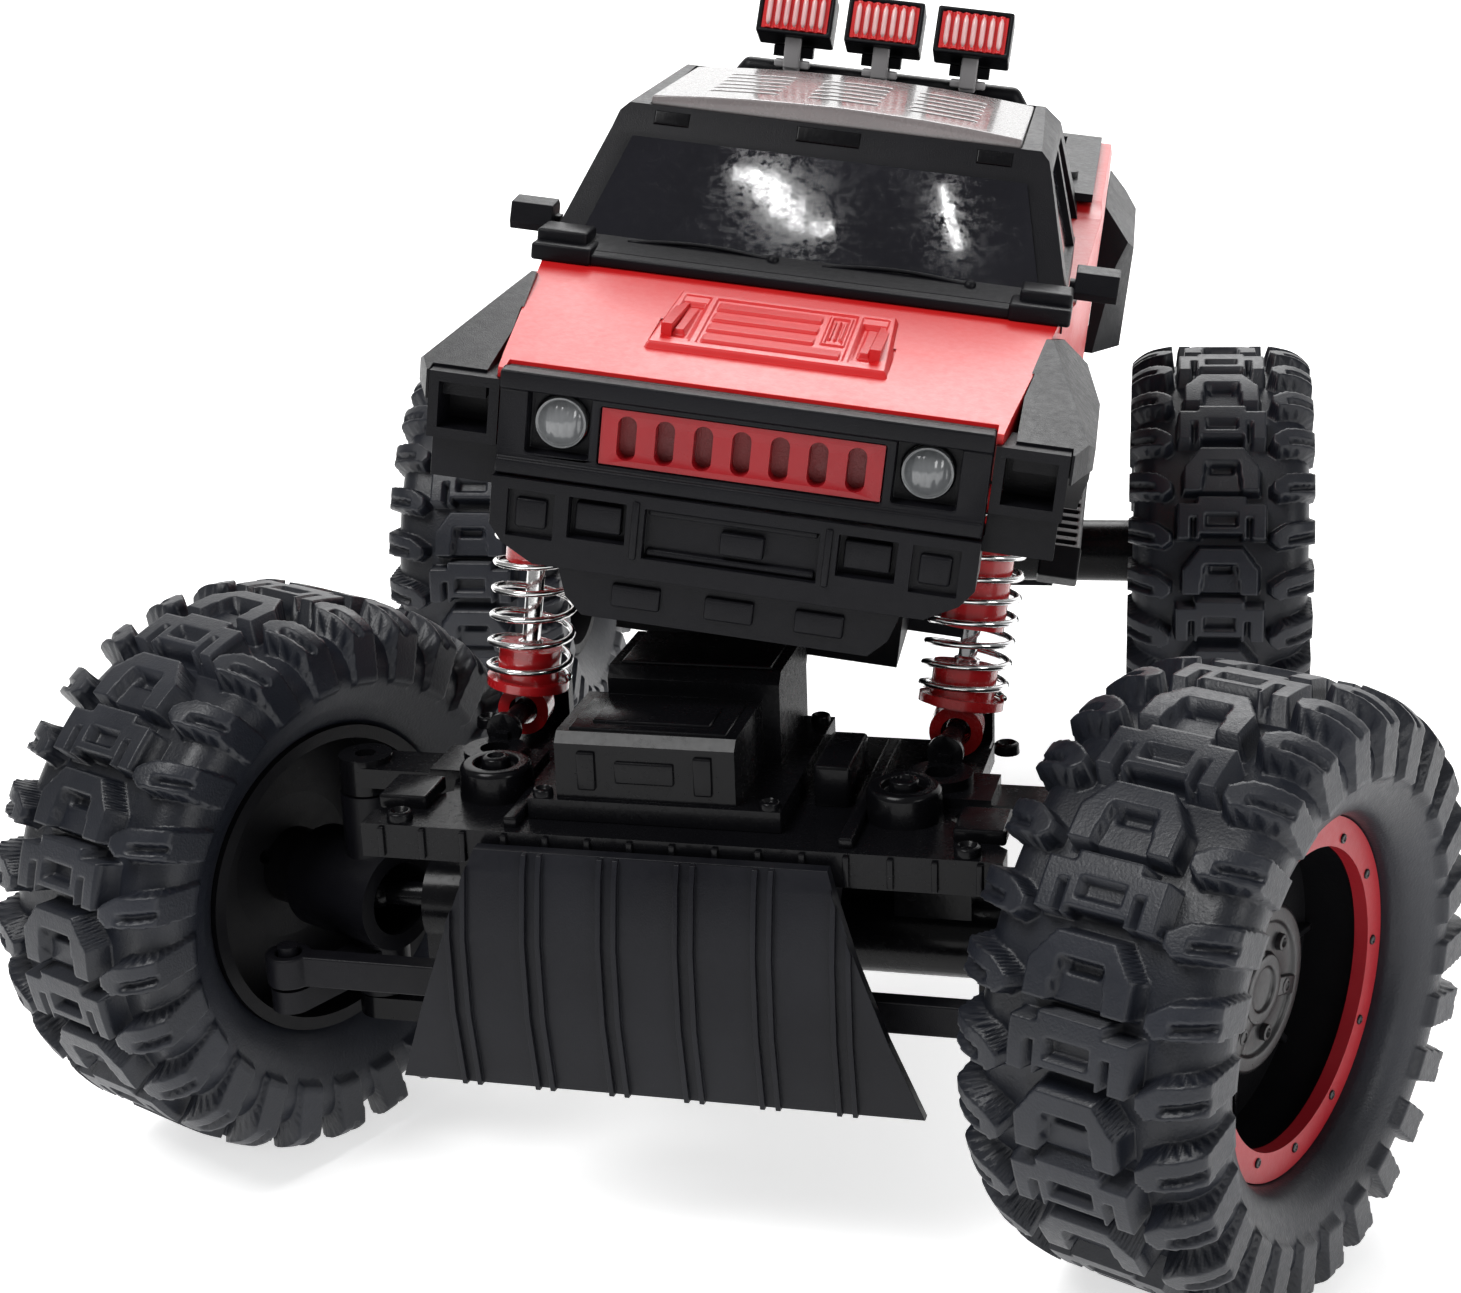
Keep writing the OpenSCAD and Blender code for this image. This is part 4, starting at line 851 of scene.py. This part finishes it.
def ring_bolts():
    """Twelve bolt heads with sunk sockets on the bead ring."""
    bolt = lathe(rounded([(10.6, 0.75), (11.25, 0.7), (11.35, 0.4), (11.15, 0.3), (11.15, 0.01)],
                         0.1, 2), 16)
    return join([at(bolt, move(0, 22.4 * math.cos(a), 22.4 * math.sin(a)))
                 for a in np.radians(np.arange(0, 360, 30))])


HUB, BOLTS = hub_trim(), ring_bolts()
for name in WHEELS:
    piece("hub_" + name, *HUB, "black_deep", m=wheel(*WHEELS[name]), body=wheel_body(name),
          slot="rim_black", sharp=38)
    piece("ring_bolts_" + name, *BOLTS, "black_deep", m=wheel(*WHEELS[name]),
          body=wheel_body(name), slot="rim_black", sharp=38)


# ---------------------------------------------------------------- axle details
def axle_trim():
    """Details on an axle about its centre, -Y forwards: round bosses beside the motor box, box
    screws, rims round the lids, a raised lid plate and the ribs of the deck."""
    parts = []
    for k in (-1, 1):
        parts.append(at(lathe(rounded([(21.4, 5.4), (25.6, 5.2), (26.2, 4.7), (26.2, 3.2), (25.0, 3.0),
                                       (25.0, 0.01)], 0.3, 3), 40, "z"), move(k * 29.5, -9.5, 0)))
        parts.append(at(lathe(rounded([(25.0, 2.2), (26.9, 2.0), (27.2, 1.2), (26.6, 1.0),
                                       (26.6, 0.01)], 0.2, 2), 24, "z"), move(k * 29.5, -9.5, 0)))
        parts.append(block(k * 41 - 3.6, k * 41 + 3.6, -17.5, -9.0, 21.2, 23.4, 0.5))
        parts.append(block(k * 23.6 - 1.0, k * 23.6 + 1.0, -22.0, 16.0, 21.3, 23.0, 0.4))
        for y in (-21.2, 17.2):
            parts.append(at(lathe(rounded([(21.2, 1.9), (22.6, 1.8), (22.9, 1.3), (22.2, 0.9),
                                           (22.2, 0.01)], 0.15, 2), 20, "z"), move(k * 40, y, 0)))
    return parts


def front_trim():
    parts = axle_trim()
    for x, y in ((-20.2, -16.8), (12.2, -16.8), (-20.2, 17.6), (12.2, 17.6)):
        parts.append(at(lathe(rounded([(24.4, 1.5), (25.5, 1.4), (25.7, 1.0), (25.1, 0.7),
                                       (25.1, 0.01)], 0.15, 2), 20, "z"), move(x, y, 0)))
    # rim and raised plate of the front lid, latch blocks on the lid's front face
    parts.append(block(-16.4, 6.0, -15.4, -3.2, 33.7, 34.35, 0.3))
    parts.append(block(-13.6, 3.2, -13.2, -5.4, 34.1, 34.75, 0.3))
    parts.append(block(-13.4, 8.6, 1.6, 15.4, 37.8, 38.4, 0.3))
    parts += [block(x - 1.3, x + 1.3, -18.0, -17.2, 26.0, 31.6, 0.3) for x in (-13.5, 3.1)]
    parts.append(block(-9.4, -1.0, -17.9, -17.2, 27.2, 30.4, 0.3))
    # servo horn block on the deck's right side and the webs of the front lip
    parts.append(block(16.4, 21.6, -8.0, 6.0, 21.3, 27.6, 0.6))
    parts += [block(x - 0.45, x + 0.45, -24.1, -23.2, 16.8, 21.2, 0.2) for x in np.arange(-42, 42.1, 6)]
    return parts


piece("front_axle_trim", *join(front_trim()), "black_gloss", m=FRONT_AXLE, body="front_axle",
      slot="black_gloss", sharp=38)
half_turn = turn((0, 0, 1), math.pi)
piece("rear_axle_trim", *join([at(q, half_turn) for q in axle_trim()]), "black_gloss", m=REAR_AXLE,
      body="rear_axle", slot="black_gloss", sharp=38)


# ---------------------------------------------------------------- CAD nodes that stay
paint("red_paint", "body_shell")
paint("roof_grey", "roof_panel")
paint("tint", "windscreen", "side_windows")
paint("black_matte", "cab_frame", "fender_flares", "grille_frame", "front_bumper", "rear_bumper",
      "mirrors", "roof_bar", "lamp_housings", "chassis_tray", "battery_cover", "power_switch",
      "side_steps", "knuckle_left", "knuckle_right", "tie_rod")
paint("black_gloss", "front_axle_case", "front_motor_box", "rear_axle_case",
      "front_axle_shaft", "rear_axle_shaft")
paint("rim_matt", *["rim_" + w for w in WHEELS])
paint("charcoal", "front_skid_plate", "rear_skid_plate")
paint("red_lens", "lamp_lenses", "tail_lights")
paint("steel", "front_motor", "rear_motor", "front_pinion", "rear_pinion")
paint("board", "circuit_board")
paint("cell", "battery_pack")
paint("red_ring", *["bead_ring_" + w for w in WHEELS])
paint("grille_red", "grille_insert")
paint("red_gloss", *["shock_body_" + w for w in WHEELS], *["shock_piston_" + w for w in WHEELS])
soften(["body_shell", "cab_frame", "fender_flares", "grille_frame", "front_bumper", "rear_bumper",
        "mirrors", "roof_panel", "front_axle_case", "front_motor_box", "rear_axle_case",
        "front_skid_plate", "rear_skid_plate", "chassis_tray", "side_steps", "lamp_housings",
        "knuckle_left", "knuckle_right", "tie_rod", "tail_lights", "grille_insert"])
